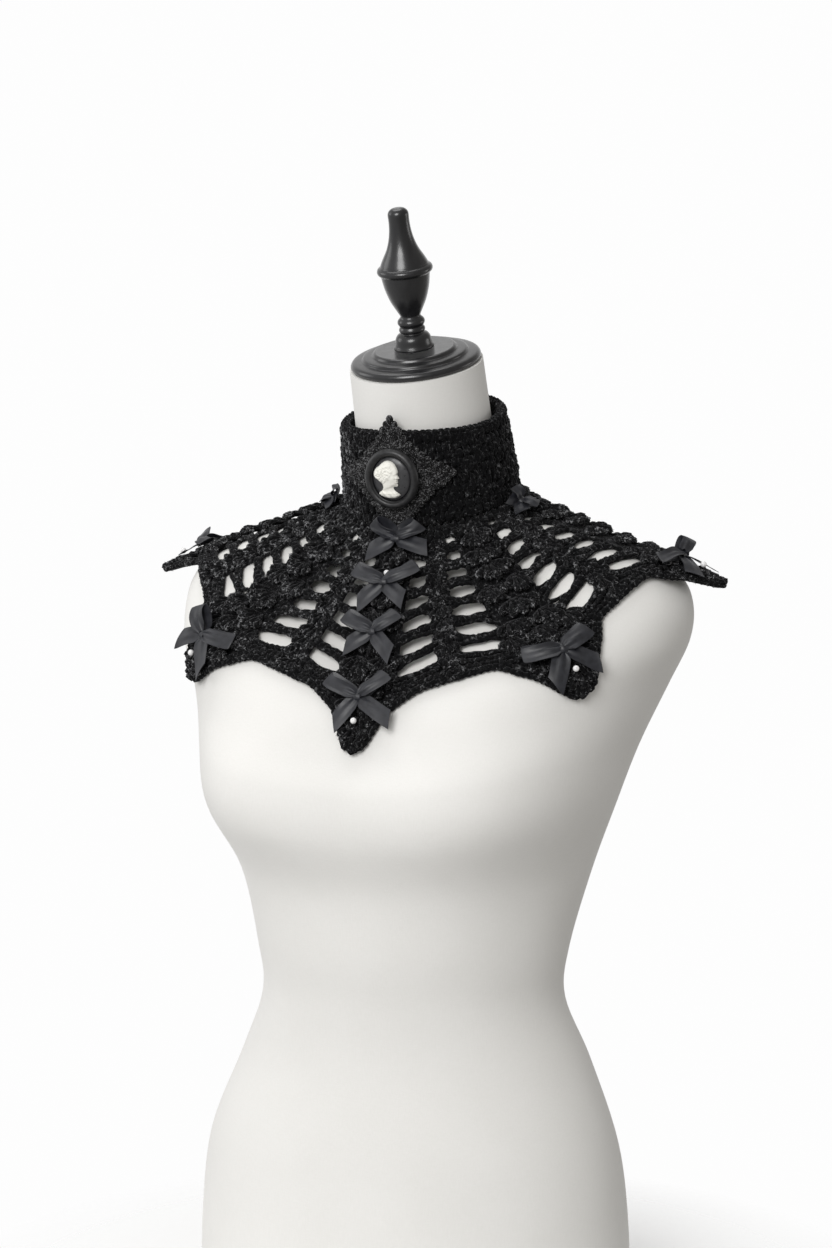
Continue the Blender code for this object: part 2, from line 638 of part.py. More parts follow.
def build_collar():
    """The standing neck band, ridged outside, with its slit at the centre back."""
    start = -180.0 + math.degrees(COLLAR_SLIT_HALF / COLLAR_RADIUS)
    cells = []
    outer = {}
    inner = {}
    for column in range(COLLAR_COLUMNS + 1):
        angle = blend(start, -start, column / COLLAR_COLUMNS)
        outer[(column, 0)], inner[(column, 0)] = seam_points(angle, 0.0, GAP / 2)
        for row in range(1, COLLAR_ROWS + 1):
            level = blend(SEAM_LEVEL, collar_top(angle), row / COLLAR_ROWS)
            outer[(column, row)] = collar_point(angle, level, COLLAR_RIDGE * (row % 2))
            inner[(column, row)] = collar_point(angle, level, -COLLAR_WALL)
    for column in range(COLLAR_COLUMNS):
        for row in range(COLLAR_ROWS):
            cells.append(((column, row), (column + 1, row), (column + 1, row + 1), (column, row + 1)))
    points, faces = shell(cells, outer, inner)
    return add_object("collar_stand", points, faces, CHENILLE, 75.0)


def corner_point(angle, distance, height, shift=0.0):
    """A point over the front corner of yoke and collar: outward over the yoke, and below zero up the collar."""
    share = min(max((distance - CORNER_START) / (CORNER_END - CORNER_START), 0.0), 1.0)
    share = share * share * (3.0 - 2.0 * share)
    over_yoke = cloth_point(angle, max(distance, CORNER_START), height, shift)
    turned_angle = angle + math.degrees(shift / COLLAR_RADIUS)
    over_collar = collar_point(turned_angle, CORNER_LEVEL - min(distance, CORNER_END), height - CORNER_DROP)
    return over_collar.lerp(over_yoke, share)


def medallion_point(across, level, height):
    """A point over the collar's front, moved out where the collar's foot widens."""
    angle = math.degrees(across / COLLAR_RADIUS)
    flare = MEDALLION_FLARE * max(0.0, MEDALLION_FLARE_LEVEL - level)
    return collar_point(angle, level, COLLAR_RIDGE + MEDALLION_LIFT + flare + height)


def build_medallion():
    """The four-pointed thread star, curved round the collar's front."""
    outer = {("middle", 0): medallion_point(0.0, MEDALLION_LEVEL, MEDALLION_THICK)}
    inner = {("middle", 0): medallion_point(0.0, MEDALLION_LEVEL, 0.0)}
    cells = []
    for side in range(MEDALLION_SIDES):
        turn = 2 * math.pi * side / MEDALLION_SIDES
        across = math.sin(turn)
        up = math.cos(turn)
        power = MEDALLION_POWER
        reach = MEDALLION_REACH / (abs(across) ** power + abs(up) ** power) ** (1 / power)
        for ring, share in enumerate(MEDALLION_RINGS):
            key = (f"ring_{ring}", side)
            spot = (across * reach * share, MEDALLION_LEVEL + up * reach * share)
            outer[key] = medallion_point(*spot, MEDALLION_THICK)
            inner[key] = medallion_point(*spot, 0.0)
    for side in range(MEDALLION_SIDES):
        step = (side + 1) % MEDALLION_SIDES
        cells.append((("middle", 0), ("ring_0", step), ("ring_0", side)))
        for ring in range(len(MEDALLION_RINGS) - 1):
            near = f"ring_{ring}"
            far = f"ring_{ring + 1}"
            cells.append(((near, side), (near, step), (far, step), (far, side)))
    points, faces = shell(cells, outer, inner)
    return add_object("medallion", points, faces, THREAD)


def brooch_axes():
    """The brooch's middle and its right, up and outward directions, flat before the collar's front."""
    _foot, upward, front = neck_axes()
    taper = collar_point(0.0, MEDALLION_LEVEL + 10) - collar_point(0.0, MEDALLION_LEVEL - 10)
    up = taper.normalized()
    right = Vector((1, 0, 0))
    outward = up.cross(right) * -1
    if outward.dot(front) < 0:
        outward = outward * -1
    return collar_point(0.0, MEDALLION_LEVEL), right, up, outward


def brooch_rings(rows, half_width, half_height):
    """Oval rings before the collar: each row an inset from the oval and a height outward."""
    middle, right, up, outward = brooch_axes()
    points = []
    for inset, height in rows:
        for side in range(BROOCH_SIDES):
            turn = 2 * math.pi * side / BROOCH_SIDES
            across = right * math.sin(turn) * (half_width - inset)
            rise = up * math.cos(turn) * (half_height - inset)
            points.append(middle + across + rise + outward * (height + BROOCH_LIFT - BROOCH_FOOT))
    return points


def build_frame():
    """The oval frame: a round rim with a step inside, a closed ring with the stone's seat open."""
    points = brooch_rings(FRAME_ROWS, FRAME_HALF_WIDTH, FRAME_HALF_HEIGHT)
    sides = BROOCH_SIDES
    faces = []
    for ring in range(len(FRAME_ROWS)):
        low = ring * sides
        high = ((ring + 1) % len(FRAME_ROWS)) * sides
        for side in range(sides):
            step = (side + 1) % sides
            faces.append((low + side, high + side, high + step, low + step))
    return add_object("brooch_frame", points, faces, RESIN)


def build_stone():
    """The low oval dome held in the frame."""
    points = brooch_rings(STONE_ROWS, STONE_HALF_WIDTH, STONE_HALF_HEIGHT)
    faces = [tuple(reversed(face)) for face in ring_faces(len(STONE_ROWS), BROOCH_SIDES)]
    return add_object("brooch_stone", points, faces, RESIN)


def stone_height(across, rise):
    """The height of the stone's dome at a place on it."""
    share = math.hypot(across / STONE_HALF_WIDTH, rise / STONE_HALF_HEIGHT)
    inset = (1.0 - share) * STONE_HALF_WIDTH
    slopes = list(zip(STONE_ROWS[1:], STONE_ROWS[2:]))
    for low, high in slopes:
        if inset < high.inset:
            return blend(low.height, high.height, max(inset - low.inset, 0.0) / (high.inset - low.inset))
    return STONE_ROWS[-1].height


def build_relief():
    """The raised head and shoulders on the stone, a smooth profile of plain proportions facing right."""
    middle, right, up, outward = brooch_axes()
    points = []
    for ring in RELIEF_RINGS:
        for spot in RELIEF_OUTLINE:
            across, rise = (blend(centre, value, ring.share) for centre, value in zip(RELIEF_CENTRE, spot))
            height = stone_height(across, rise) + BROOCH_LIFT - BROOCH_FOOT + RELIEF_LIFT + ring.rise
            points.append(middle + right * across + up * rise + outward * height)
    return add_object("brooch_relief", points, ring_faces(len(RELIEF_RINGS), len(RELIEF_OUTLINE)), IVORY)


def bow_mesh(place):
    """Points and faces of a bow; place turns across, outward and height into a point."""
    outer = {"foot": place(0.0, BOW_KNOT_FOOT.outward, BOW_KNOT_FOOT.rise)}
    inner = {"foot": place(0.0, BOW_KNOT_FOOT.outward, 0.0)}
    for name, spot in BOW_HALF.items():
        for side, mirror in (("left", -1), ("right", 1)):
            outer[f"{side}_{name}"] = place(mirror * spot.across, spot.outward, spot.seat + spot.rise)
            inner[f"{side}_{name}"] = place(mirror * spot.across, spot.outward, spot.seat)
    cells = [("left_knot_top", "left_knot_side", "foot", "right_knot_side", "right_knot_top")]
    halves = (
        ("knot_top", "knot_side", "loop_mid_low", "loop_mid_top"),
        ("loop_mid_top", "loop_mid_low", "loop_end_low", "loop_end_top"),
        ("tail_mid_top", "tail_mid_low", "tail_end_low", "tail_end_top"),
    )
    for cell in halves:
        cells.append(tuple(f"right_{name}" for name in cell))
        cells.append(tuple(f"left_{name}" for name in reversed(cell)))
    cells.append(("right_knot_side", "foot", "right_tail_mid_low", "right_tail_mid_top"))
    cells.append(("left_tail_mid_top", "left_tail_mid_low", "foot", "left_knot_side"))
    return shell(cells, outer, inner)


def build_bow(bow):
    """A ribbon bow that lies over a spine of the yoke."""
    cosine = math.cos(math.radians(bow.turn))
    sine = math.sin(math.radians(bow.turn))

    def place(across, outward, height):
        """A point of this bow over the cloth."""
        turned_across = bow.size * (across * cosine - outward * sine)
        distance = bow.distance + bow.size * (across * sine + outward * cosine)
        if distance < CORNER_END:
            return corner_point(bow.angle, distance, bow.seat + height, turned_across)
        return cloth_point(side_angle(bow.angle, distance, turned_across), distance, bow.seat + height)

    points, faces = bow_mesh(place)
    return add_object(bow.name, points, faces, SATIN, 30.0)


def build_collar_bow(name, angle):
    """A bow in the corner between the collar and the shoulder: one loop stands, the other lies outward."""
    origin = cloth_point(angle, *COLLAR_BOW_KNOT)
    along = (cloth_point(angle, *COLLAR_BOW_LYING) - origin).normalized()
    standing = (collar_point(angle, *COLLAR_BOW_STANDING) - origin).normalized()
    sideways = along.cross(standing).normalized()
    sideways = sideways if sideways.y < 0 else sideways * -1
    away = (along + standing).normalized()

    def place(across, outward, height):
        """A point of this bow beside the collar."""
        direction = along if across > 0 else standing
        return origin + direction * abs(across) + sideways * outward + away * height

    points, faces = bow_mesh(place)
    made = add_object(name, points, faces, SATIN, 30.0)
    turn_outward(made)
    return made


def turn_outward(item):
    """Make the faces of a closed object point out."""
    work = bmesh.new()
    work.from_mesh(item.data)
    bmesh.ops.recalc_face_normals(work, faces=work.faces)
    work.to_mesh(item.data)
    work.free()


def build_pearl(pearl):
    """A pearl that sits on the yoke's shells."""
    mesh = bpy.data.meshes.new(pearl.name)
    work = bmesh.new()
    bmesh.ops.create_uvsphere(work, u_segments=8, v_segments=6, radius=PEARL_RADIUS * MM)
    work.to_mesh(mesh)
    work.free()
    mesh.shade_smooth()
    mesh.materials.append(material(PEARL))
    made = bpy.data.objects.new(pearl.name, mesh)
    made.location = cloth_point(pearl.angle, pearl.distance, pearl.height + PEARL_RADIUS + GAP) * MM
    bpy.context.collection.objects.link(made)
    return made


def build_button(name, level):
    """A button over the collar's back slit."""
    middle = collar_point(BUTTON_ANGLE, level, COLLAR_RIDGE + BUTTON_LIFT)
    outward = (middle - collar_point(BUTTON_ANGLE, level, -5.0)).normalized()
    mesh = bpy.data.meshes.new(name)
    work = bmesh.new()
    bmesh.ops.create_cone(
        work, cap_ends=True, segments=16, radius1=BUTTON_RADIUS * MM, radius2=0.82 * BUTTON_RADIUS * MM,
        depth=BUTTON_THICK * MM, matrix=Matrix.Translation((0, 0, BUTTON_THICK * MM / 2)),
    )
    work.to_mesh(mesh)
    work.free()
    mesh.shade_smooth()
    mesh.set_sharp_from_angle(angle=math.radians(40.0))
    mesh.materials.append(material(RESIN))
    made = bpy.data.objects.new(name, mesh)
    made.rotation_mode = "QUATERNION"
    made.rotation_quaternion = Vector((0, 0, 1)).rotation_difference(outward)
    made.location = middle * MM
    bpy.context.collection.objects.link(made)
    return made


def main():
    """Build the whole part."""
    clear_scene()
    build_form()
    turned("neck_cap", CAP_TURNS, CAP_SIDES, BLACK_WOOD)
    turned("finial", FINIAL_TURNS, FINIAL_SIDES, BLACK_WOOD)
    build_yoke("yoke_front", -FRONT_SEAM, FRONT_SEAM)
    build_yoke("yoke_back_left", FRONT_SEAM, BACK_SEAM)
    build_yoke("yoke_back_right", -BACK_SEAM, -FRONT_SEAM)
    build_collar()
    build_medallion()
    build_frame()
    build_stone()
    build_relief()
    for bow in BOWS:
        build_bow(bow)
    build_collar_bow("bow_collar_left", 90.0)
    build_collar_bow("bow_collar_right", -90.0)
    for pearl in PEARLS:
        build_pearl(pearl)
    for number, level in enumerate(BUTTON_LEVELS, start=1):
        build_button(f"button_{number}", level)


main()
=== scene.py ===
"""Dressed scene of a crochet capelet collar on a limbless dress form.

Sizes are in millimetres and angles in degrees until a mesh is made. The front is towards -Y and the wearer's
left towards +X. A chart angle runs round the garment from the centre front (0) over the left shoulder (90) to
the centre back (180), and a chart distance runs outward from the collar's foot along the cloth.
"""

import itertools
import logging
import math
from collections.abc import Callable, Sequence
from dataclasses import dataclass, field
from enum import Enum
from typing import NamedTuple

import bpy
import numpy as np
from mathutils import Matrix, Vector


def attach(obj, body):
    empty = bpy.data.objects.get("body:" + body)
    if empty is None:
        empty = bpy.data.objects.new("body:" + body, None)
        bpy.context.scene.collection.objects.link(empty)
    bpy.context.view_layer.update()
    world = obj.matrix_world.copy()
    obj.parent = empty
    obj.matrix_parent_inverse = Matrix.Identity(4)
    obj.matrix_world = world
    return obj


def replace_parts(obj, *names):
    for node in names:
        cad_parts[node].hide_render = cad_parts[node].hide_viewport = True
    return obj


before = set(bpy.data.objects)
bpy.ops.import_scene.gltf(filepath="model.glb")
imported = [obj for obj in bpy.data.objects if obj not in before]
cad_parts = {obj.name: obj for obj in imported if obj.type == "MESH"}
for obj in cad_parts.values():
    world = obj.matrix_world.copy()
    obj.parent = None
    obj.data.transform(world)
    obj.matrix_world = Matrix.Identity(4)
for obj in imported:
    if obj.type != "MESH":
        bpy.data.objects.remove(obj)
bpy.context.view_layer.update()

LOG = logging.getLogger("capelet")
MM = 0.001
SIDEWAYS = np.array((1.0, 0.0, 0.0))
# painted glint on the light flecks of plain yarn, where no stitch sets its own
PLAIN_GLINT = 0.55
PILE_LUMP = 1.9
HASH_PRIMES = (73856093, 19349663, 83492791)
HASH_STIR = 1274126177
HASH_TOP = 0xFFFFFF
Array = np.ndarray


def unit(vectors: Array) -> Array:
    """Vectors scaled to length one."""
    return vectors / np.maximum(np.linalg.norm(vectors, axis=-1, keepdims=True), 1e-9)


def full_turn(count: int) -> Array:
    """Even angles once round, in radians."""
    return np.linspace(0, 2 * math.pi, count, endpoint=False)


def eased(share: Array) -> Array:
    """A share from 0 to 1, slowed at both ends."""
    return share * share * (3 - 2 * share)


def walked(points: Array) -> Array:
    """How far each point lies along the line that they make."""
    return np.concatenate([[0.0], np.cumsum(np.linalg.norm(np.diff(points, axis=0), axis=1))])


def net_quads(number: Array) -> Array:
    """The four point numbers of each quad between rows and columns of point numbers."""
    return np.stack([number[:-1, :-1], number[:-1, 1:], number[1:, 1:], number[1:, :-1]], axis=-1)


def placed(name: str, data: bpy.types.ID) -> bpy.types.Object:
    """A new object of that name and data.

    Args:
        name: Its name.
        data: Its mesh, lamp or camera.

    Returns:
        The object, in the scene.
    """
    made = bpy.data.objects.new(name, data)
    bpy.context.collection.objects.link(made)
    return made


def table_rows(table: Array, position: Array) -> Array:
    """Rows of a table read between its rows along a Catmull-Rom curve.

    Args:
        table: One row for each whole position.
        position: Places in the table, in any shape.

    Returns:
        The rows, with the table's columns as the last axis.
    """
    last = len(table) - 1
    index = np.clip(position.astype(int), 0, last - 1)
    part = (position - index)[..., None]
    start, end = table[index], table[index + 1]
    before = np.where((index > 0)[..., None], table[np.maximum(index - 1, 0)], 2 * start - end)
    after = np.where((index + 2 <= last)[..., None], table[np.minimum(index + 2, last)], 2 * end - start)
    line = 2 * start + (end - before) * part
    bend = (2 * before - 5 * start + 4 * end - after) * part**2
    twist = (3 * start - before - 3 * end + after) * part**3
    return (line + bend + twist) / 2


def spline(points: Sequence | Array, count: int, closed: bool = False) -> Array:
    """Even samples of a smooth curve through points.

    Args:
        points: The points that the curve passes, in order.
        count: How many samples.
        closed: Whether the curve runs back to its first point.

    Returns:
        The samples, one row each.
    """
    table = np.asarray(points, float)
    if closed:
        total = len(table)
        table = np.concatenate([table[-2:], table, table[:3]])
        return table_rows(table, 2 + np.arange(count) * total / count)
    return table_rows(table, np.linspace(0, len(table) - 1, count))


def grain(points: Array, size: float, seed: int = 0) -> Array:
    """Smooth random values over space.

    Args:
        points: Where to read them.
        size: The width of one lump.
        seed: Which pattern.

    Returns:
        Values from -1 to 1, one for each point.
    """
    cell = points / size + seed * 17.31
    base = np.floor(cell).astype(np.int64)
    part = eased(cell - base)
    total = np.zeros(points.shape[:-1])
    for corner in itertools.product((0, 1), repeat=3):
        spot = (base + corner) * HASH_PRIMES
        mixed = spot[..., 0] ^ spot[..., 1] ^ spot[..., 2]
        mixed = ((mixed ^ (mixed >> 13)) * HASH_STIR) & HASH_TOP
        weight = np.prod(np.where(corner, part, 1 - part), axis=-1)
        total += weight * (mixed / (HASH_TOP // 2) - 1)
    return total


class Signal:
    """A shader socket whose operators add Math nodes."""

    def __init__(self, shading: "Shading", socket: bpy.types.NodeSocket) -> None:
        """Wrap a node's output socket."""
        self.shading = shading
        self.socket = socket

    def maths(self, operation: str, *values: "Signal | float", clamp: bool = False) -> "Signal":
        """One Math node."""
        settings = {"operation": operation, "use_clamp": clamp}
        return self.shading.node("ShaderNodeMath", settings, dict(enumerate(values)))

    def __add__(self, other: "Signal | float") -> "Signal":
        """This plus another."""
        return self.maths("ADD", self, other)

    def __sub__(self, other: "Signal | float") -> "Signal":
        """This less another."""
        return self.maths("SUBTRACT", self, other)

    def __rsub__(self, other: float) -> "Signal":
        """A number less this."""
        return self.maths("SUBTRACT", other, self)

    def __mul__(self, other: "Signal | float") -> "Signal":
        """This times another."""
        return self.maths("MULTIPLY", self, other)

    def __pow__(self, other: "Signal | float") -> "Signal":
        """This to a power."""
        return self.maths("POWER", self, other)

    __radd__ = __add__
    __rmul__ = __mul__

    def sine(self) -> "Signal":
        """Its sine."""
        return self.maths("SINE", self)

    def between(self, low: float, high: float) -> "Signal":
        """This spread so that low becomes 0 and high becomes 1, and held there."""
        return self.maths("MULTIPLY", self - low, 1 / (high - low), clamp=True)


class Shading:
    """The nodes of one material or of the surround."""

    def __init__(self, name: str, surround: bool = False) -> None:
        """Start an empty material or surround."""
        owners = bpy.data.worlds if surround else bpy.data.materials
        self.output = "ShaderNodeOutputWorld" if surround else "ShaderNodeOutputMaterial"
        self.material = owners.new(name)
        self.material.use_nodes = True
        self.tree = self.material.node_tree
        self.tree.nodes.clear()

    def node(
        self, kind: str, settings: dict | None = None, values: dict | None = None, output: int | str = 0,
    ) -> Signal:
        """Any one node.

        Args:
            kind: The node's type.
            settings: Its properties, set first. "stops" holds a ramp's positions and colours.
            values: Numbers, colours or signals for its sockets, by name or number.
            output: The output to hand on, by name or number.

        Returns:
            That output.
        """
        made = self.tree.nodes.new(kind)
        for key, value in (settings or {}).items():
            if key == "stops":
                for number, (position, colour) in enumerate(value):
                    stops = made.color_ramp.elements
                    stop = stops[number] if number < len(stops) else stops.new(position)
                    stop.position = position
                    stop.color = (*colour, 1.0)
            else:
                setattr(made, key, value)
        for key, value in (values or {}).items():
            socket = made.inputs[key]
            if isinstance(value, Signal):
                self.tree.links.new(value.socket, socket)
            elif isinstance(value, tuple) and len(value) == 3 and socket.type == "RGBA":
                socket.default_value = (*value, 1.0)
            else:
                socket.default_value = value
        return Signal(self, made.outputs[output])

    def place(self) -> Signal:
        """The surface's place in the object's own metres."""
        return self.node("ShaderNodeTexCoord", output="Object")

    def facing(self, way: Signal, towards: Vector) -> Signal:
        """How far a direction faces another, from -1 to 1."""
        values = {0: way, 1: tuple(towards.normalized())}
        return self.node("ShaderNodeVectorMath", {"operation": "DOT_PRODUCT"}, values, output="Value")

    def noise(self, size: float, detail: float = 2.0, stretch: tuple = (1.0, 1.0, 1.0)) -> Signal:
        """Noise with lumps of a size in millimetres, narrowed along each axis by a stretch."""
        spot = self.node("ShaderNodeVectorMath", {"operation": "MULTIPLY"}, {0: self.place(), 1: stretch})
        values = {"Vector": spot, "Scale": 1 / (size * MM), "Detail": detail}
        return self.node("ShaderNodeTexNoise", {}, values)

    def mix(self, share: Signal, low: tuple | Signal, high: tuple | Signal) -> Signal:
        """A colour between two, by a share."""
        return self.node("ShaderNodeMix", {"data_type": "RGBA"}, {0: share, 6: low, 7: high}, output=2)

    def bump(self, height: Signal, depth: float, strength: float = 1.0) -> Signal:
        """A bumped normal, its depth in millimetres."""
        values = {"Height": height, "Distance": depth * MM, "Strength": strength}
        return self.node("ShaderNodeBump", {}, values, output="Normal")

    def finish(self, **values: object) -> bpy.types.Material:
        """Close the material with a Principled shader.

        Args:
            **values: Its sockets by name, with _ for each space.

        Returns:
            The material.
        """
        named = {key.replace("_", " "): value for key, value in values.items()}
        self.close(self.node("ShaderNodeBsdfPrincipled", {}, named))
        return self.material

    def close(self, shader: Signal) -> None:
        """Link a shader to the material's output."""
        out = self.tree.nodes.new(self.output)
        self.tree.links.new(shader.socket, out.inputs["Surface"])


class Slot(Enum):
    """The record's material slots."""

    JERSEY = "cream_jersey"
    WOOD = "black_satin_wood"
    CHENILLE = "black_chenille"
    THREAD = "black_cotton_thread"
    RIBBON = "black_satin_ribbon"
    RESIN = "black_matt_resin"
    IVORY = "ivory_resin"
    PEARL = "white_pearl"


@dataclass(frozen=True)
class Finish:
    """A surface finish, made into a material once."""

    slot: Slot
    name: str

    def material(self) -> bpy.types.Material:
        """The finish's material."""
        return bpy.data.materials.get(self.name) or self.mixed(Shading(self.name))

    def mixed(self, shading: Shading) -> bpy.types.Material:
        """Build the nodes."""
        raise NotImplementedError


@dataclass(frozen=True)
class Jersey(Finish):
    """Cream jersey, stretched, with fine upright wales."""

    colour: tuple = (0.80, 0.79, 0.765)
    shade: tuple = (0.76, 0.75, 0.722)
    wale: float = 0.9

    def mixed(self, shading: Shading) -> bpy.types.Material:
        """Build the nodes."""
        wales = shading.noise(self.wale, 1.0, (1.0, 1.0, 0.16))
        courses = shading.noise(self.wale, 1.0, (0.22, 0.22, 1.2))
        wide = shading.noise(60.0, 2.0).between(0.35, 0.65)
        weave = wales * 0.6 + courses * 0.4
        tone = shading.mix(weave.between(0.32, 0.68) * 0.55 + wide * 0.45, self.shade, self.colour)
        return shading.finish(
            Base_Color=tone, Roughness=weave * 0.2 + 0.78, Normal=shading.bump(weave, 0.12, 0.7),
            Sheen_Weight=0.12, Sheen_Roughness=0.5, Specular_IOR_Level=0.25,
        )


@dataclass(frozen=True)
class SatinWood(Finish):
    """Turned wood under black satin lacquer."""

    colour: tuple = (0.008, 0.008, 0.009)
    worn: tuple = (0.018, 0.018, 0.02)
    grain_size: float = 5.0

    def mixed(self, shading: Shading) -> bpy.types.Material:
        """Build the nodes."""
        streaks = shading.noise(self.grain_size, 4.0, (1.0, 1.0, 0.12))
        dust = shading.noise(0.7, 2.0).between(0.6, 0.8)
        tone = shading.mix(streaks.between(0.35, 0.75) * 0.6 + dust * 0.25, self.colour, self.worn)
        return shading.finish(
            Base_Color=tone, Roughness=streaks * 0.12 + 0.24 + dust * 0.1,
            Normal=shading.bump(streaks, 0.08, 0.35), Coat_Weight=0.35, Coat_Roughness=0.18,
        )


@dataclass(frozen=True)
class Chenille(Finish):
    """Deep black pile crossed by thin lighter filaments where fibre ends catch the light."""

    colour: tuple = (0.0043, 0.0043, 0.0047)
    glint_fleck: tuple = (0.27, 0.272, 0.28)
    filament: float = 3.8
    tuft: float = 1.1

    def mixed(self, shading: Shading) -> bpy.types.Material:
        """Build the nodes."""
        tufts = shading.noise(self.tuft, 3.0)
        wander = shading.noise(self.filament, 3.0) - 0.5
        thin = wander.maths("ABSOLUTE", wander).between(0.05, 0.012)
        broken = shading.noise(2.8, 1.0).between(0.5, 0.64)
        # The painted glint attribute scales the light flecks: painted highlights on rims and tops that face
        # the light, painted shade in the dark feet and hollows.
        crest = shading.node("ShaderNodeAttribute", {"attribute_name": "crest"}, output="Fac")
        pile = tufts.between(0.46, 0.9) * 0.26
        clumps = shading.noise(6.5, 1.0).between(0.42, 0.62) * 0.8 + 0.3
        share = (thin * broken).maths("MAXIMUM", thin * broken, pile) * crest * clumps
        tone = shading.mix(share, self.colour, self.glint_fleck)
        return shading.finish(
            Base_Color=tone, Roughness=1 - share * 0.2,
            Normal=shading.bump(tufts * 0.6 + thin * 0.3, 0.9, 0.9), Sheen_Weight=0.22, Sheen_Roughness=0.26,
            Sheen_Tint=(0.5, 0.5, 0.52, 1.0), Specular_IOR_Level=0.08,
        )


@dataclass(frozen=True)
class Thread(Finish):
    """Fine black cotton, twisted, matt, with painted highlights on its loops."""

    colour: tuple = (0.003, 0.003, 0.0032)
    glint_fleck: tuple = (0.21, 0.21, 0.215)

    def mixed(self, shading: Shading) -> bpy.types.Material:
        """Build the nodes."""
        # The lighter flecks at random spots are painted highlights on the thread's loops.
        plies = shading.noise(0.75, 2.0)
        patches = shading.noise(3.0, 1.0)
        share = (plies + patches * 0.35).between(0.7, 0.88)
        return shading.finish(
            Base_Color=shading.mix(share, self.colour, self.glint_fleck), Roughness=0.9 - share * 0.2,
            Normal=shading.bump(plies, 0.35, 0.8), Sheen_Weight=0.08, Sheen_Roughness=0.4,
            Specular_IOR_Level=0.2,
        )


@dataclass(frozen=True)
class SatinRibbon(Finish):
    """Black satin ribbon with a soft, faintly blue sheen."""

    colour: tuple = (0.0078, 0.0082, 0.0112)
    light: tuple = (0.018, 0.019, 0.025)

    def mixed(self, shading: Shading) -> bpy.types.Material:
        """Build the nodes."""
        weave = shading.noise(0.35, 1.0)
        wide = shading.noise(4.0, 2.0)
        share = wide.between(0.35, 0.7) * 0.7 + weave * 0.3
        return shading.finish(
            Base_Color=shading.mix(share, self.colour, self.light), Roughness=0.4 + share * 0.14,
            Normal=shading.bump(weave * 0.3 + wide, 0.12, 0.6), Sheen_Weight=0.13, Sheen_Roughness=0.3,
            Sheen_Tint=(0.6, 0.62, 0.68, 1.0), Specular_IOR_Level=0.55,
        )


@dataclass(frozen=True)
class CastResin(Finish):
    """Cast resin, black and satin unless it says otherwise, with worn or darker patches."""

    colour: tuple = (0.008, 0.008, 0.009)
    patch: tuple = (0.02, 0.02, 0.021)
    roughness: float = 0.36
    lump: float = 2.5
    limits: tuple = (0.35, 0.7)
    strength: float = 1.0
    roughened: float = 0.14
    depth: float = 0.05
    specular: float = 0.5

    def mixed(self, shading: Shading) -> bpy.types.Material:
        """Build the nodes."""
        cloud = shading.noise(self.lump, 3.0).between(*self.limits)
        return shading.finish(
            Base_Color=shading.mix(cloud * self.strength, self.colour, self.patch),
            Roughness=cloud * self.roughened + self.roughness,
            Normal=shading.bump(cloud, self.depth, 0.4), Specular_IOR_Level=self.specular,
        )


@dataclass(frozen=True)
class PearlCoat(Finish):
    """Imitation pearl with a soft gloss."""

    colour: tuple = (0.9, 0.895, 0.88)
    shade: tuple = (0.8, 0.79, 0.8)

    def mixed(self, shading: Shading) -> bpy.types.Material:
        """Build the nodes."""
        cloud = shading.noise(1.2, 2.0).between(0.3, 0.7)
        return shading.finish(
            Base_Color=shading.mix(cloud, self.colour, self.shade), Roughness=cloud * 0.06 + 0.12,
            Coat_Weight=0.5, Coat_Roughness=0.08, Sheen_Weight=0.15,
        )


JERSEY = Jersey(Slot.JERSEY, "jersey_cover")
WOOD = SatinWood(Slot.WOOD, "lacquered_wood")
CHENILLE = Chenille(Slot.CHENILLE, "chenille_yarn")
THREAD = Thread(Slot.THREAD, "cotton_thread")
RIBBON = SatinRibbon(Slot.RIBBON, "satin_ribbon")
RESIN = CastResin(Slot.RESIN, "frame_resin")
STONE = CastResin(Slot.RESIN, "stone_resin", (0.03, 0.03, 0.032), (0.042, 0.042, 0.045), 0.26)
IVORY = CastResin(
    Slot.IVORY, "ivory_relief", (0.84, 0.83, 0.77), (0.66, 0.64, 0.57), 0.42, lump=1.6, limits=(0.45, 0.8),
    strength=0.5, roughened=0.15, depth=0.04, specular=0.4,
)
PEARL = PearlCoat(Slot.PEARL, "pearl_coat")


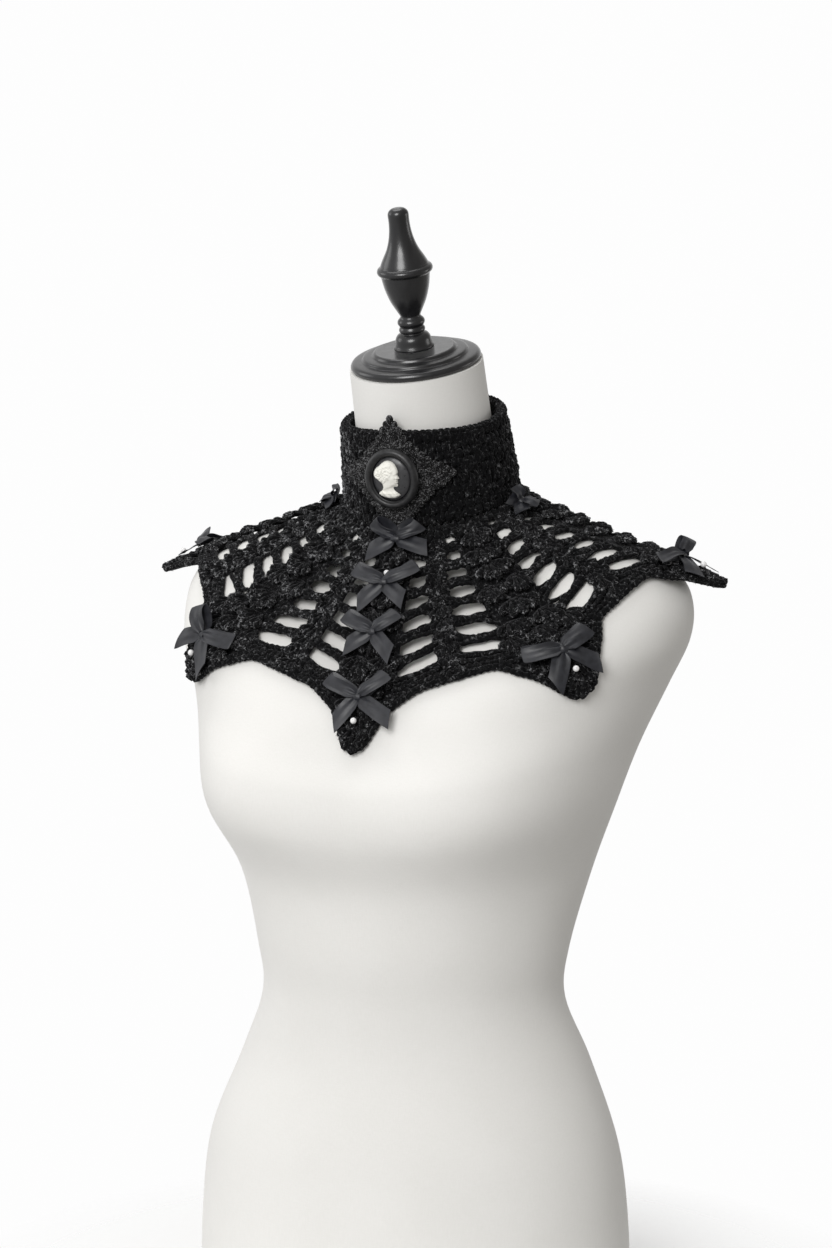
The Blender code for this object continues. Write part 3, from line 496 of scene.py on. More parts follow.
class Piece:
    """Points and faces of one object, in millimetres until it is made."""

    def __init__(self, name: str) -> None:
        """Start an empty piece."""
        self.name = name
        self.points: list[Array] = []
        self.faces: list[tuple] = []
        self.marks: list[int] = []
        self.skins: list[tuple[Array, Array]] = []
        self.painted_glints: list[Array] = []
        self.count = 0

    def add(self, points: Array, faces: Sequence, mark: int = 0, crest: float | Array = PLAIN_GLINT) -> None:
        """Add points and faces that number from the first of them.

        Args:
            points: One row for each point.
            faces: Rows of point numbers.
            mark: The number of their finish.
            crest: How much painted glint the pile's light flecks take, one value or one for each point.
        """
        points = np.asarray(points, float).reshape(-1, 3)
        self.points.append(points)
        self.painted_glints.append(np.broadcast_to(np.asarray(crest, float), len(points)))
        rows = faces.tolist() if isinstance(faces, np.ndarray) else faces
        self.faces += [tuple(number + self.count for number in row) for row in rows]
        self.marks += [mark] * len(rows)
        self.count += len(points)

    def tubes(
        self, paths: Sequence | Array, radii: float | Array, sides: int = 6, closed: bool = False,
        lumps: float = 0.0, normals: Array | None = None, squash: float = 1.0, mark: int = 0,
        crest: float | Array = PLAIN_GLINT,
    ) -> None:
        """Sweep a round section along each of a batch of paths.

        Args:
            paths: Points by path and step, or those of one path.
            radii: The section's radius, one for all or by step.
            sides: Corners of the section.
            closed: Whether each path is a ring.
            lumps: How far the pile swells in and out.
            normals: Directions of the section's height, by path and step.
            squash: The section's height over its width.
            mark: The number of their finish.
            crest: How much painted glint the pile's light flecks take, one for all or by step.
        """
        paths = np.asarray(paths, float)
        paths = paths[None] if paths.ndim == 2 else paths
        rows, steps, _ = paths.shape
        radii = np.broadcast_to(np.asarray(radii, float), (rows, steps))
        ahead = np.roll(paths, -1, 1) - np.roll(paths, 1, 1) if closed else np.gradient(paths, axis=1)
        ahead = unit(ahead)
        side = np.empty_like(paths)
        seed = np.where(np.abs(ahead[:, 0, 2:]) < 0.8, (0.0, 0.0, 1.0), (1.0, 0.0, 0.0))
        side[:, 0] = unit(np.cross(ahead[:, 0], seed))
        for step in range(1, steps):
            along = np.sum(side[:, step - 1] * ahead[:, step], axis=-1, keepdims=True)
            side[:, step] = unit(side[:, step - 1] - ahead[:, step] * along)
        if normals is not None:
            side = unit(np.cross(ahead, normals))
        height = np.cross(side, ahead)
        turns = full_turn(sides)[:, None]
        spokes = side[:, :, None] * np.cos(turns) + height[:, :, None] * np.sin(turns) * squash
        skin = paths[:, :, None] + spokes * radii[..., None, None]
        if lumps:
            skin = skin + spokes * (lumps * grain(skin, PILE_LUMP))[..., None]
        number = np.arange(rows * steps * sides).reshape(rows, steps, sides)
        low = number if closed else number[:, :-1]
        high = np.roll(number, -1, 1) if closed else number[:, 1:]
        quads = np.stack([low, high, np.roll(high, -1, 2), np.roll(low, -1, 2)], axis=-1)
        faces = quads.reshape(-1, 4).tolist()
        if not closed:
            faces += number[:, 0].tolist() + number[:, -1, ::-1].tolist()
        self.skins.append((skin.reshape(-1, 3), spokes.reshape(-1, 3)))
        self.add(skin, faces, mark, np.repeat(np.broadcast_to(crest, (rows, steps)).ravel(), sides))

    def fibres(self, count: int, length: float, width: float, draw: np.random.Generator) -> None:
        """Short fibres that stand out of the tubes' pile.

        Args:
            count: How many.
            length: Their usual length.
            width: Their width at the root.
            draw: The source of their scatter.
        """
        roots = np.concatenate([skin for skin, _ in self.skins])
        ways = np.concatenate([spokes for _, spokes in self.skins])
        pick = draw.integers(0, len(roots), count)
        way = unit(ways[pick] + draw.normal(0, 0.5, (count, 3)))
        aside = unit(np.cross(way, draw.normal(size=(count, 3))))
        root = roots[pick] + aside * draw.normal(0, 0.5, (count, 1)) - way * 0.25
        tip = root + way * length * draw.uniform(0.6, 1.3, (count, 1))
        across = unit(np.cross(way, aside)) * width / 2
        points = np.stack([root - across, root + across, tip], axis=1)
        self.add(points, np.arange(3 * count).reshape(-1, 3))

    def grid(self, points: Array, around: bool = False, mark: int = 0) -> None:
        """A net of quads over rows of points.

        Args:
            points: Points by row and column, facing out where rows run up and columns to the right.
            around: Whether the last column meets the first.
            mark: The number of its finish.
        """
        rows, columns = points.shape[:2]
        number = np.arange(rows * columns).reshape(rows, columns)
        number = np.concatenate([number, number[:, :1]], axis=1) if around else number
        self.add(points, net_quads(number).reshape(-1, 4), mark)

    def lathe(self, rings: Array, mark: int = 0) -> None:
        """A closed turned solid.

        Args:
            rings: Its rings of points, the first at the bottom.
            mark: The number of its finish.
        """
        columns = rings.shape[1]
        start = self.count
        self.grid(rings, around=True, mark=mark)
        bottom, top = range(start, start + columns), range(self.count - columns, self.count)
        self.faces += [tuple(reversed(bottom)), tuple(top)]
        self.marks += [mark, mark]

    def cloth(self, points: Array, thick: float, mark: int = 0, crest: Array | None = None) -> None:
        """A closed strip of cloth about the middle surface that a net of points gives.

        Args:
            points: Points by row and column.
            thick: The cloth's thickness.
            mark: The number of its finish.
            crest: How much painted glint the pile's light flecks take at each point.
        """
        rows, columns = points.shape[:2]
        normal = unit(np.cross(np.gradient(points, axis=1), np.gradient(points, axis=0)))
        both = np.stack([points + normal * thick / 2, points - normal * thick / 2])
        number = np.arange(both.size // 3).reshape(2, rows, columns)
        faces = []
        for layer, order in zip(number, ((0, 3, 2, 1), (1, 2, 3, 0))):
            faces += net_quads(layer)[..., order].reshape(-1, 4).tolist()
        for top, low in (number[:, 0, :], number[:, :, -1], number[:, -1, ::-1], number[:, ::-1, 0]):
            faces += np.stack([top[:-1], top[1:], low[1:], low[:-1]], axis=-1).tolist()
        self.skins.append((both[0].reshape(-1, 3), normal.reshape(-1, 3)))
        self.add(both, faces, mark, PLAIN_GLINT if crest is None else np.tile(crest.ravel(), 2))

    def make(self, finishes: Sequence[Finish], sharp: float = 180.0) -> bpy.types.Object:
        """Make the object, dress it and let it ride on the part.

        Args:
            finishes: Its finishes, by mark.
            sharp: The angle from which an edge stays sharp.

        Returns:
            The object.
        """
        mesh = bpy.data.meshes.new(self.name)
        mesh.from_pydata((np.concatenate(self.points) * MM).tolist(), [], self.faces)
        mesh.validate()
        mesh.shade_smooth()
        if sharp < 180:
            mesh.set_sharp_from_angle(angle=math.radians(sharp))
        for finish in finishes:
            mesh.materials.append(finish.material())
        if len(finishes) > 1 and len(self.marks) == len(mesh.polygons):
            mesh.polygons.foreach_set("material_index", self.marks)
        # painted glint of each point: it brightens the yarn's flecks where they stand in for fibre ends
        # catching the light
        crest = mesh.attributes.new("crest", "FLOAT", "POINT")
        crest.data.foreach_set("value", np.concatenate(self.painted_glints))
        made = placed(self.name, mesh)
        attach(made, "root")
        LOG.info("%s: %d faces", self.name, len(mesh.polygons))
        return made


def rounded(steps: int, radius: float, swell: float = 0.0) -> Array:
    """Radii of a tube with rounded ends."""
    place = np.linspace(-1, 1, steps)
    return radius * (1 - np.abs(place) ** 7 * 0.72) * (1 + swell * np.cos(place * math.pi / 2))


@dataclass
class Form:
    """The form's skin: rings from the neck's top to the base, with soft swells over them."""

    axis_y: float = 34.5
    axis_z: float = 568.0
    # half_width, front, back, centre_y, z_side, z_front, z_back, squareness, z_bend
    rings: tuple = (
        (47.5, 45.8, 45.8, 0.6, 675.4, 660.7, 690.1, 2.0, 1.0),
        (49.0, 47.3, 47.3, 17.4, 624.0, 610.2, 637.8, 2.0, 1.0),
        (51.5, 49.7, 49.7, 27.2, 592.0, 578.0, 606.0, 2.0, 1.0),
        (56.0, 51.5, 53.0, 31.5, 574.0, 558.5, 586.0, 2.0, 1.3),
        (92.0, 64.3, 68.0, 34.0, 563.6, 546.4, 573.0, 2.0, 2.0),
        (130.0, 70.0, 78.0, 34.0, 552.0, 517.0, 556.0, 2.0, 2.0),
        (165.0, 83.0, 84.0, 32.0, 540.0, 497.0, 540.0, 2.0, 2.0),
        (189.0, 94.0, 88.0, 30.0, 526.0, 476.0, 520.0, 2.1, 2.0),
        (197.0, 111.0, 90.0, 30.0, 507.0, 457.0, 498.0, 2.15, 2.0),
        (192.0, 131.0, 93.0, 33.0, 482.0, 433.0, 470.0, 2.15, 2.0),
        (176.0, 143.0, 95.0, 32.0, 450.0, 405.0, 440.0, 2.1, 2.0),
        (159.0, 141.0, 95.0, 17.0, 408.0, 382.0, 400.0, 2.1, 2.0),
        (147.0, 126.0, 92.0, 1.0, 366.0, 350.0, 360.0, 2.1, 2.0),
        (129.0, 110.0, 87.0, 3.0, 318.0, 310.0, 316.0, 2.05, 2.0),
        (115.0, 96.0, 84.0, -5.0, 262.0, 262.0, 262.0, 2.0, 2.0),
        (112.0, 89.0, 86.0, -5.0, 225.0, 225.0, 225.0, 2.0, 2.0),
        (130.0, 92.0, 95.0, -1.0, 180.0, 180.0, 180.0, 2.0, 2.0),
        (152.0, 101.0, 110.0, -7.0, 120.0, 120.0, 120.0, 2.1, 2.0),
        (159.0, 108.0, 120.0, -7.0, 60.0, 60.0, 60.0, 2.1, 2.0),
        (160.0, 110.0, 122.0, -7.0, 0.0, 0.0, 0.0, 2.1, 2.0),
    )
    # angle, spread, z, z_spread, height
    swells: tuple = ((38.0, 26.0, 380.0, 55.0, 16.0), (60.0, 25.0, 520.0, 33.5, -22.0))

    def __post_init__(self) -> None:
        """Keep the table as an array."""
        self.table = np.array(self.rings)

    def skin(self, angle: Array, position: Array) -> Array:
        """Points of the skin.

        Args:
            angle: Chart angles.
            position: Places in the table of rings.

        Returns:
            One point for each.
        """
        rows = table_rows(self.table, np.asarray(position, float))
        half_width, front, back, centre_y, z_side, z_front, z_back, power, z_bend = np.moveaxis(rows, -1, 0)
        across = np.sin(np.radians(angle))
        ahead = np.cos(np.radians(angle))
        depth = np.where(ahead > 0, front, back)
        reach = ((np.abs(across) / half_width) ** power + (np.abs(ahead) / depth) ** power) ** (-1 / power)
        far_z = np.where(ahead > 0, z_front, z_back)
        z = z_side + (far_z - z_side) * np.abs(ahead) ** z_bend
        for swell_angle, spread, swell_z, z_spread, height in self.swells:
            aside = (np.abs(angle) - swell_angle) / spread
            reach = reach + height * np.exp(-(aside**2) - ((z - swell_z) / z_spread) ** 2)
        return np.stack([reach * across, centre_y - reach * ahead, z], axis=-1)

    def at_azimuth(self, azimuth: float, position: Array) -> Array:
        """Points of the skin that lie in one direction from the neck's axis.

        Args:
            azimuth: The direction.
            position: Places in the table of rings.

        Returns:
            One point for each place.
        """
        angle = np.full(len(position), azimuth)
        for _ in range(4):
            point = self.skin(angle, position)
            angle = angle + azimuth - np.degrees(np.arctan2(point[:, 0], self.axis_y - point[:, 1]))
        return self.skin(angle, position)


@dataclass
class Drape:
    """The yoke's seat: a chart laid over the form as taut, stiff cloth lies on it."""

    form: Form
    start: float = 63.0
    tilt: float = 15.3
    side_rise: float = 8.0
    step: float = 2.0
    reach: float = 190.0
    azimuth_step: float = 2.5
    smoothings: int = 12
    # places in the form's table of rings under a line: the first, their step and how many
    samples: tuple = (2.5, 0.05, 210)
    # how far to either side the seat's slopes are read, in degrees round and in millimetres outward
    probe_turn: float = 1.0
    probe_walk: float = 3.0
    stiff_slope: float = 21.5
    stiff_band: float = 0.16
    fan_angle: float = 13.9
    fan_reach: float = 175.0
    fan_power: float = 1.3

    def __post_init__(self) -> None:
        """Work out the seat's lines."""
        count = int(180 / self.azimuth_step) + 1
        self.lines = np.array([self.line(step * self.azimuth_step) for step in range(count)])

    def line(self, angle: float) -> Array:
        """The seat's line in one direction from the neck's axis.

        Args:
            angle: The direction.

        Returns:
            Distance from the axis and height, in even steps outward.
        """
        across, ahead = math.sin(math.radians(angle)), math.cos(math.radians(angle))
        tilt = math.sin(math.radians(self.tilt)) * ahead
        line = [(self.start, self.form.axis_z - self.start * tilt + self.side_rise * across**2)]
        first, step, count = self.samples
        points = self.form.at_azimuth(angle, first + step * np.arange(count))
        distance = points[:, 0] * across - (points[:, 1] - self.form.axis_y) * ahead
        line += [(d, z) for d, z in zip(distance, points[:, 2]) if d > self.start + self.step]
        return self.even(self.stiffened(self.hull(line), angle))

    @staticmethod
    def hull(points: list) -> list:
        """The line that taut cloth takes.

        Args:
            points: The points under it, outward.

        Returns:
            Those that it touches.
        """
        hull: list = []
        for point in points:
            while len(hull) > 1:
                (x1, y1), (x2, y2) = hull[-2:]
                if (x2 - x1) * (point[1] - y1) - (y2 - y1) * (point[0] - x1) < 0:
                    break
                hull.pop()
            hull.append(point)
        return hull

    def stiffened(self, line: list, angle: float) -> list:
        """The line, carried straight on where stiff cloth no longer follows the form down.

        Args:
            line: Its points, outward.
            angle: Its direction from the neck's axis.

        Returns:
            The new points.
        """
        side = abs(math.sin(math.radians(angle)))
        limit = self.stiff_slope + (90.0 - self.stiff_slope) * min(1.0, (1.0 - side) / self.stiff_band)
        for index in range(1, len(line) - 1):
            (x1, y1), (x2, y2) = line[index : index + 2]
            if math.degrees(math.atan2(y1 - y2, x2 - x1)) > limit:
                run = math.radians(limit)
                end = (x1 + self.reach * math.cos(run), y1 - self.reach * math.sin(run))
                return line[: index + 1] + [end]
        return line

    def even(self, line: list) -> Array:
        """Smoothed points at even steps along a line.

        Args:
            line: Its points.

        Returns:
            The even ones.
        """
        points = np.array(line)
        far = walked(points)
        want = np.arange(int(self.reach / self.step) + 1) * self.step
        beyond = np.maximum(want - far[-1], 0)[:, None] * unit(points[-1:] - points[-2:-1])
        found = np.stack([np.interp(want, far, points[:, axis]) for axis in (0, 1)], axis=1) + beyond
        for _ in range(self.smoothings):
            found[1:-1] = (found[:-2] + 2 * found[1:-1] + found[2:]) / 4
        return found

    def stretch(self, angle: Array, distance: Array) -> Array:
        """How much wider a step of chart angle is at a distance than a plain circle's."""
        share = (np.maximum(distance, 0.0) / self.fan_reach) ** self.fan_power
        return 1.0 + 2 * math.radians(self.fan_angle) * share * np.cos(2 * np.radians(angle))

    def seat(self, angle: Array, distance: Array) -> Array:
        """Points of the seat.

        Args:
            angle: Chart angles.
            distance: Chart distances.

        Returns:
            One point for each.
        """
        share = (np.maximum(distance, 0.0) / self.fan_reach) ** self.fan_power
        azimuth = angle + self.fan_angle * share * np.sin(2 * np.radians(angle))
        turned = np.abs((azimuth + 180.0) % 360.0 - 180.0)
        column = np.minimum(turned / self.azimuth_step, len(self.lines) - 1.001)
        row = np.minimum(distance / self.step, self.lines.shape[1] - 1.001)
        left, low = column.astype(int), np.maximum(row.astype(int), 0)
        aside, above = (column - left)[..., None], (row - low)[..., None]
        near = self.lines[left, low] * (1 - above) + self.lines[left, low + 1] * above
        far = self.lines[left + 1, low] * (1 - above) + self.lines[left + 1, low + 1] * above
        radius, z = np.moveaxis(near * (1 - aside) + far * aside, -1, 0)
        turn = np.radians(azimuth)
        return np.stack([radius * np.sin(turn), self.form.axis_y - radius * np.cos(turn), z], axis=-1)

    def over(self, angle: Array, distance: Array, height: Array | float) -> Array:
        """Points at a height over the seat."""
        angle, distance = np.broadcast_arrays(angle, distance)
        return self.seat(angle, distance) + self.away(angle, distance) * np.asarray(height)[..., None]

    def aside(self, angle: Array, distance: Array) -> Array:
        """Vectors between the seat's points a probe's turn to either side."""
        return self.seat(angle + self.probe_turn, distance) - self.seat(angle - self.probe_turn, distance)

    def away(self, angle: Array, distance: Array) -> Array:
        """Unit vectors off the seat."""
        outward = self.seat(angle, distance + self.probe_walk) - self.seat(angle, distance - self.probe_walk)
        return unit(np.cross(outward, self.aside(angle, distance)))

    def degree(self, angle: Array | float, distance: Array | float) -> Array:
        """How wide one degree of chart angle is."""
        return np.linalg.norm(self.aside(angle, distance), axis=-1) / (2 * self.probe_turn)

    def beside(self, angle: Array | float, distance: Array | float, across: Array | float) -> Array:
        """The chart angle that lies a width to the side of another."""
        return angle + across / self.degree(angle, distance)

    def spread(self, angle: float, distance: float, across: float) -> float:
        """The chart angle beside another by the web's plain rule of widths."""
        return angle + math.degrees(across / ((self.start + distance) * float(self.stretch(angle, distance))))


@dataclass
class NeckBand:
    """The collar's surface: a leaning, slightly tapered stand on the neck's axis."""

    form: Form
    height: float = 79.5
    side_drop: float = 5.5
    radius: float = 63.2
    taper: float = 5.5
    taper_power: float = 1.8
    lean: float = 16.5
    seam_level: float = 9.2
    seam_side_rise: float = 3.0
    slit_half: float = 0.5

    def axes(self, lean: float | None = None) -> tuple[Array, Array, Array]:
        """The axis's foot and its upward and forward directions.

        Args:
            lean: How far it leans forward, if not as the collar does.

        Returns:
            The foot and both directions.
        """
        angle = math.radians(self.lean if lean is None else lean)
        foot = np.array((0.0, self.form.axis_y, self.form.axis_z))
        upward = np.array((0.0, -math.sin(angle), math.cos(angle)))
        return foot, upward, np.array((0.0, -math.cos(angle), -math.sin(angle)))

    def point(self, angle: Array, level: Array, height: Array | float = 0.0) -> Array:
        """Points of the collar's outer face.

        Args:
            angle: Chart angles.
            level: Levels over its foot.
            height: How far out of the face.

        Returns:
            One point for each.
        """
        foot, upward, _forward = self.axes()
        angle, level, height = np.broadcast_arrays(angle, level, height)
        radius = self.radius - self.taper * (np.maximum(level, 0.0) / self.height) ** self.taper_power
        return foot + upward * level[..., None] + self.away(angle) * (radius + height)[..., None]

    def top(self, angle: Array) -> Array:
        """The level of the top edge, highest at the front."""
        side = np.where(np.abs(angle) < 90, np.sin(np.radians(angle)) ** 2, 1.0)
        return self.height - self.side_drop * side

    def seam(self, angle: Array) -> Array:
        """The level of the seam between yoke and collar."""
        return self.seam_level + self.seam_side_rise * np.sin(np.radians(angle)) ** 2

    def away(self, angle: Array) -> Array:
        """Directions out of the collar."""
        turn = np.radians(angle)[..., None]
        return SIDEWAYS * np.sin(turn) + self.axes()[2] * np.cos(turn)


def wall(cells: list, outer: dict, inner: dict) -> tuple[Array, list]:
    """Close cells into a wall: outer faces, inner faces and a side on each free edge.

    Args:
        cells: Keys of the corners of each cell.
        outer: The outer point of each key.
        inner: The inner point of each key.

    Returns:
        Points and faces.
    """
    keys = sorted({key for cell in cells for key in cell})
    number = {key: index for index, key in enumerate(keys)}
    count = len(keys)
    points = np.array([outer[key] for key in keys] + [inner[key] for key in keys])
    faces = [tuple(number[key] for key in cell) for cell in cells]
    faces += [tuple(number[key] + count for key in reversed(cell)) for cell in cells]
    edges = {edge for cell in cells for edge in zip(cell, cell[1:] + cell[:1])}
    for start, end in sorted(edges):
        if (end, start) not in edges:
            faces.append((number[end], number[start], number[start] + count, number[end] + count))
    return points, faces


class Opening(NamedTuple):
    """One opening of the web beside a spine."""

    centre: float
    slant: float
    half_height: float
    half_angle: float


class LeafRow(NamedTuple):
    """A row line across a leaf point."""

    distance: float
    width_share: float
    height: float


@dataclass
class Web:
    """The yoke's layout on the chart: spines, ribs, openings, hem and leaf points."""

    drape: Drape
    spine_angle: float = 45.0
    rib_angle: float = 22.5
    opening_angle: float = 13.7
    end_share: float = 0.7
    # shares of an opening's slant from the spine to the rib
    slant_shares: tuple = (0.5, 0.5, 0.5, 0.0, -0.5, -0.5)
    foot: float = 2.5
    openings: tuple = (
        Opening(6.2, 0.0, 2.5, 2.2), Opening(20.8, 0.0, 3.1, 2.7), Opening(35.8, 1.0, 3.7, 3.5),
        Opening(51.8, 3.0, 4.2, 4.1), Opening(68.0, 5.0, 4.3, 4.5), Opening(85.0, 8.0, 4.4, 4.8),
        Opening(101.6, 10.0, 4.4, 5.1),
    )
    leaf_rows: tuple = (
        LeafRow(143.0, 0.80, 8.0), LeafRow(151.0, 0.63, 8.5), LeafRow(158.0, 0.48, 7.5),
        LeafRow(163.0, 0.34, 7.0), LeafRow(166.0, 0.18, 5.5),
    )
    leaf_base: float = 134.0
    leaf_base_half: float = 34.0
    leaf_base_most: float = 11.0
    leaf_bow: float = 1.2
    hem: tuple = (132.0, 133.0, 134.0, 123.0, 121.0, 120.5)

    @property
    def rows(self) -> int:
        """The number of the last row line before the leaf points."""
        return 2 + 2 * len(self.openings)

    def half_base(self, spine: int) -> float:
        """Half the chart angle of a leaf point's base."""
        angle = spine * self.spine_angle
        return min(self.drape.spread(angle, self.leaf_base, self.leaf_base_half) - angle, self.leaf_base_most)

    @staticmethod
    def steps(column: int) -> set[int]:
        """How many columns the two sides of a column's cells lie from their spines."""
        return {abs(number - 10 * round(number / 10)) for number in (column, column + 1)}

    def last_row(self, column: int) -> int:
        """The last row line of the cells right of a column."""
        return self.rows + (len(self.leaf_rows) if max(self.steps(column)) <= 2 else 0)

    def spot(self, column: int, row: int, ease: float = 0.0) -> tuple[float, float]:
        """Chart angle and distance of the crossing of a column and a row line.

        Args:
            column: Ten for each spine, five on each side of it.
            row: Two before the openings, two for each opening, then those of the leaf point.
            ease: How far the edges of openings and hem draw back.

        Returns:
            The angle and the distance.
        """
        spine = round(column / 10)
        place = column - 10 * spine
        step, side = abs(place), (place > 0) - (place < 0)
        opening = self.openings[min(max((row - 2) // 2, 0), len(self.openings) - 1)]
        grow = math.degrees(ease / (self.drape.start + opening.centre))
        inner = self.opening_angle - opening.half_angle - grow
        outer = self.opening_angle + opening.half_angle + grow
        angle = (0.0, inner / 2, inner, self.opening_angle, outer, self.rib_angle)[step]
        if row < 2:
            steep = abs(math.cos(math.radians(spine * self.spine_angle + side * angle)))
            distance = self.foot * (1 - steep)
        elif row < self.rows:
            slant = self.slant_shares[step] * opening.slant
            share = 1.0 if step == 3 else self.end_share
            way = 2 * ((row - 2) % 2) - 1
            distance = opening.centre + slant + way * (opening.half_height * share + ease)
        elif row == self.rows:
            base = self.half_base(spine)
            angle = (0.0, base / 2, base, self.opening_angle, outer, self.rib_angle)[step]
            distance = self.hem[step] - ease * (step > 1)
        else:
            leaf = self.leaf_rows[row - self.rows - 1]
            spine_at = spine * self.spine_angle
            spread = (self.drape.start + self.leaf_base) * self.drape.stretch(spine_at, self.leaf_base)
            across = (math.radians(self.half_base(spine)) * spread * leaf.width_share - ease) * place / 2
            distance = leaf.distance - self.leaf_bow * step - ease * (row == self.rows + len(self.leaf_rows))
            return self.drape.spread(spine_at, distance, across), distance
        return spine * self.spine_angle + side * angle, distance

    def is_open(self, column: int, row: int) -> bool:
        """Whether the cell right of a column and below a row line is an opening."""
        return self.steps(column) <= {2, 3, 4} and 2 <= row < self.rows and row % 2 == 0

    def spine_half(self, spine: int, ring: int, distance: float) -> float:
        """Half the width of a spine beside a ring of openings."""
        angle = self.opening_angle - self.openings[ring].half_angle
        return angle * float(self.drape.degree(spine * self.spine_angle, distance))

    def hem_line(self, spine: int, inset: float) -> list[tuple[float, float]]:
        """Places along the free edge, from the rib before a spine to the rib after it.

        Args:
            spine: The spine's number.
            inset: How far inside the edge they lie.

        Returns:
            Their chart angles and distances.
        """
        last = self.rows + len(self.leaf_rows)
        columns = [(10 * spine - 5, self.rows), (10 * spine - 4, self.rows), (10 * spine - 3, self.rows)]
        left = columns + [(10 * spine - 2, row) for row in range(self.rows, last + 1)]
        right = [(20 * spine - column, row) for column, row in reversed(left)]
        return [self.spot(column, row, inset) for column, row in left + [(10 * spine, last)] + right]


@dataclass
class DressForm:
    """The jersey-covered body with the turned wood on its neck."""

    form: Form
    band: NeckBand
    columns: int = 128
    rows: int = 150
    top_lean: float = 17.8
    gap: float = 0.35
    sides: int = 72
    # shares of the rows and the places in the form's table of rings that they reach
    row_places: tuple = ((0, 0.35, 0.85, 1), (19, 11, 2, 0))
    # radius and height of the turned pieces above the neck's top
    cap: tuple = (
        (43.6, 0.0), (45.4, 0.4), (46.2, 1.6), (46.5, 2.6), (46.2, 3.8), (44.8, 5.4), (42.0, 5.9),
        (39.2, 6.1), (38.2, 6.3), (37.7, 6.8), (37.4, 7.8), (36.6, 8.5), (34.0, 8.8), (31.2, 8.9),
        (30.4, 9.2), (29.9, 10.0), (29.4, 10.8), (28.4, 11.3), (27.6, 11.4),
    )
    finial: tuple = (
        (14.2, 11.75), (14.3, 12.6), (14.0, 13.5), (13.4, 14.2), (12.9, 16.2), (12.6, 18.4), (11.9, 20.2),
        (10.6, 21.8), (8.8, 22.8), (8.6, 23.4), (9.2, 24.4), (9.3, 25.6), (8.8, 26.8), (8.4, 27.6),
        (8.9, 28.6), (9.6, 29.8), (9.7, 31.2), (9.1, 32.6), (7.6, 34.2), (7.2, 35.4), (7.9, 37.0),
        (9.6, 40.2), (13.2, 47.6), (15.9, 56.6), (17.2, 64.4), (17.6, 65.8), (19.0, 66.8), (19.7, 68.2),
        (19.5, 69.8), (18.6, 71.0), (17.2, 71.8), (16.6, 73.4), (14.4, 77.8), (11.2, 83.7), (8.8, 91.0),
        (7.6, 98.0), (7.3, 104.0), (7.4, 108.0), (6.9, 110.0), (5.6, 111.6), (3.8, 112.5), (1.6, 112.7),
    )

    def turned(self, name: str, profile: tuple) -> Piece:
        """A turned piece on the neck's top.

        Args:
            name: The piece's name.
            profile: Radius and height of its rings.

        Returns:
            The piece.
        """
        _foot, upward, forward = self.band.axes(self.top_lean)
        middle = self.form.skin(np.array([90.0]), np.array([0.0]))[0] * (0, 1, 1) + upward * self.gap
        rows = np.concatenate([profile[:1], spline(profile, 2 * len(profile) + 20), profile[-1:]])
        turn = full_turn(self.sides)[:, None]
        spokes = SIDEWAYS * np.sin(turn) + forward * np.cos(turn)
        rings = middle + upward * rows[:, None, 1:2] + spokes[None] * rows[:, None, :1]
        piece = Piece(name)
        piece.lathe(rings)
        return piece

    def build(self) -> None:
        """Build and dress the body, the cap and the finial."""
        body = Piece("jersey_form")
        position = np.interp(np.linspace(0, 1, self.rows), *self.row_places)[:, None]
        angle = np.linspace(-180, 180, self.columns, endpoint=False)[None, :]
        body.lathe(self.form.skin(*np.broadcast_arrays(angle, position)))
        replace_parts(body.make([JERSEY], 60.0), "form_torso")
        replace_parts(self.turned("turned_cap", self.cap).make([WOOD], 50.0), "neck_cap")
        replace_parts(self.turned("turned_finial", self.finial).make([WOOD], 50.0), "finial")


class Shell(NamedTuple):
    """A shell of stitches: its foot on the chart, its size, its edge's height and its number of stitches."""

    angle: float
    distance: float
    width: float
    length: float
    lift: float
    petals: int = 5

    def fan(self, turn: Array, share: Array, inset: float, reach: Array) -> tuple[Array, Array]:
        """How far across and outward its stitches run from its foot."""
        across = (self.width / 2 - inset) * np.sin(turn) * (0.14 + 0.86 * share**0.9) * reach
        return across, (self.length - inset) * np.cos(turn * 0.84) * share * reach


@dataclass(frozen=True)
class StitchGlint:
    """The painted glint on the light flecks of each kind of stitch, from 0 for none; rims and strands that
    catch the light take the most.
    """

    chain: float = 0.42
    border: float = 0.45
    hem: float = 0.6
    post: float = 0.4
    cloth: float = 0.05
    rim: float = 2.5
    strand: float = 5.0


FIELDS = {"front": (0, 1), "left": (2, 3), "back": (4, -3), "right": (-2, -1)}
GLINT = StitchGlint()
# corners of the yarn round an opening: shares of its half angle, slant, end height and middle height
RING_CORNERS = np.array((
    (-0.94, 1.0, -1.0, 0.0), (-0.35, 0.3, 0.0, -0.97), (0.35, -0.3, 0.0, -0.97), (0.94, -1.0, -1.0, 0.0),
    (1.04, -1.0, 0.0, 0.0), (0.94, -1.0, 1.0, 0.0), (0.35, -0.3, 0.0, 0.97), (-0.35, 0.3, 0.0, 0.97),
    (-0.94, 1.0, 1.0, 0.0), (-1.04, 1.0, 0.0, 0.0),
))


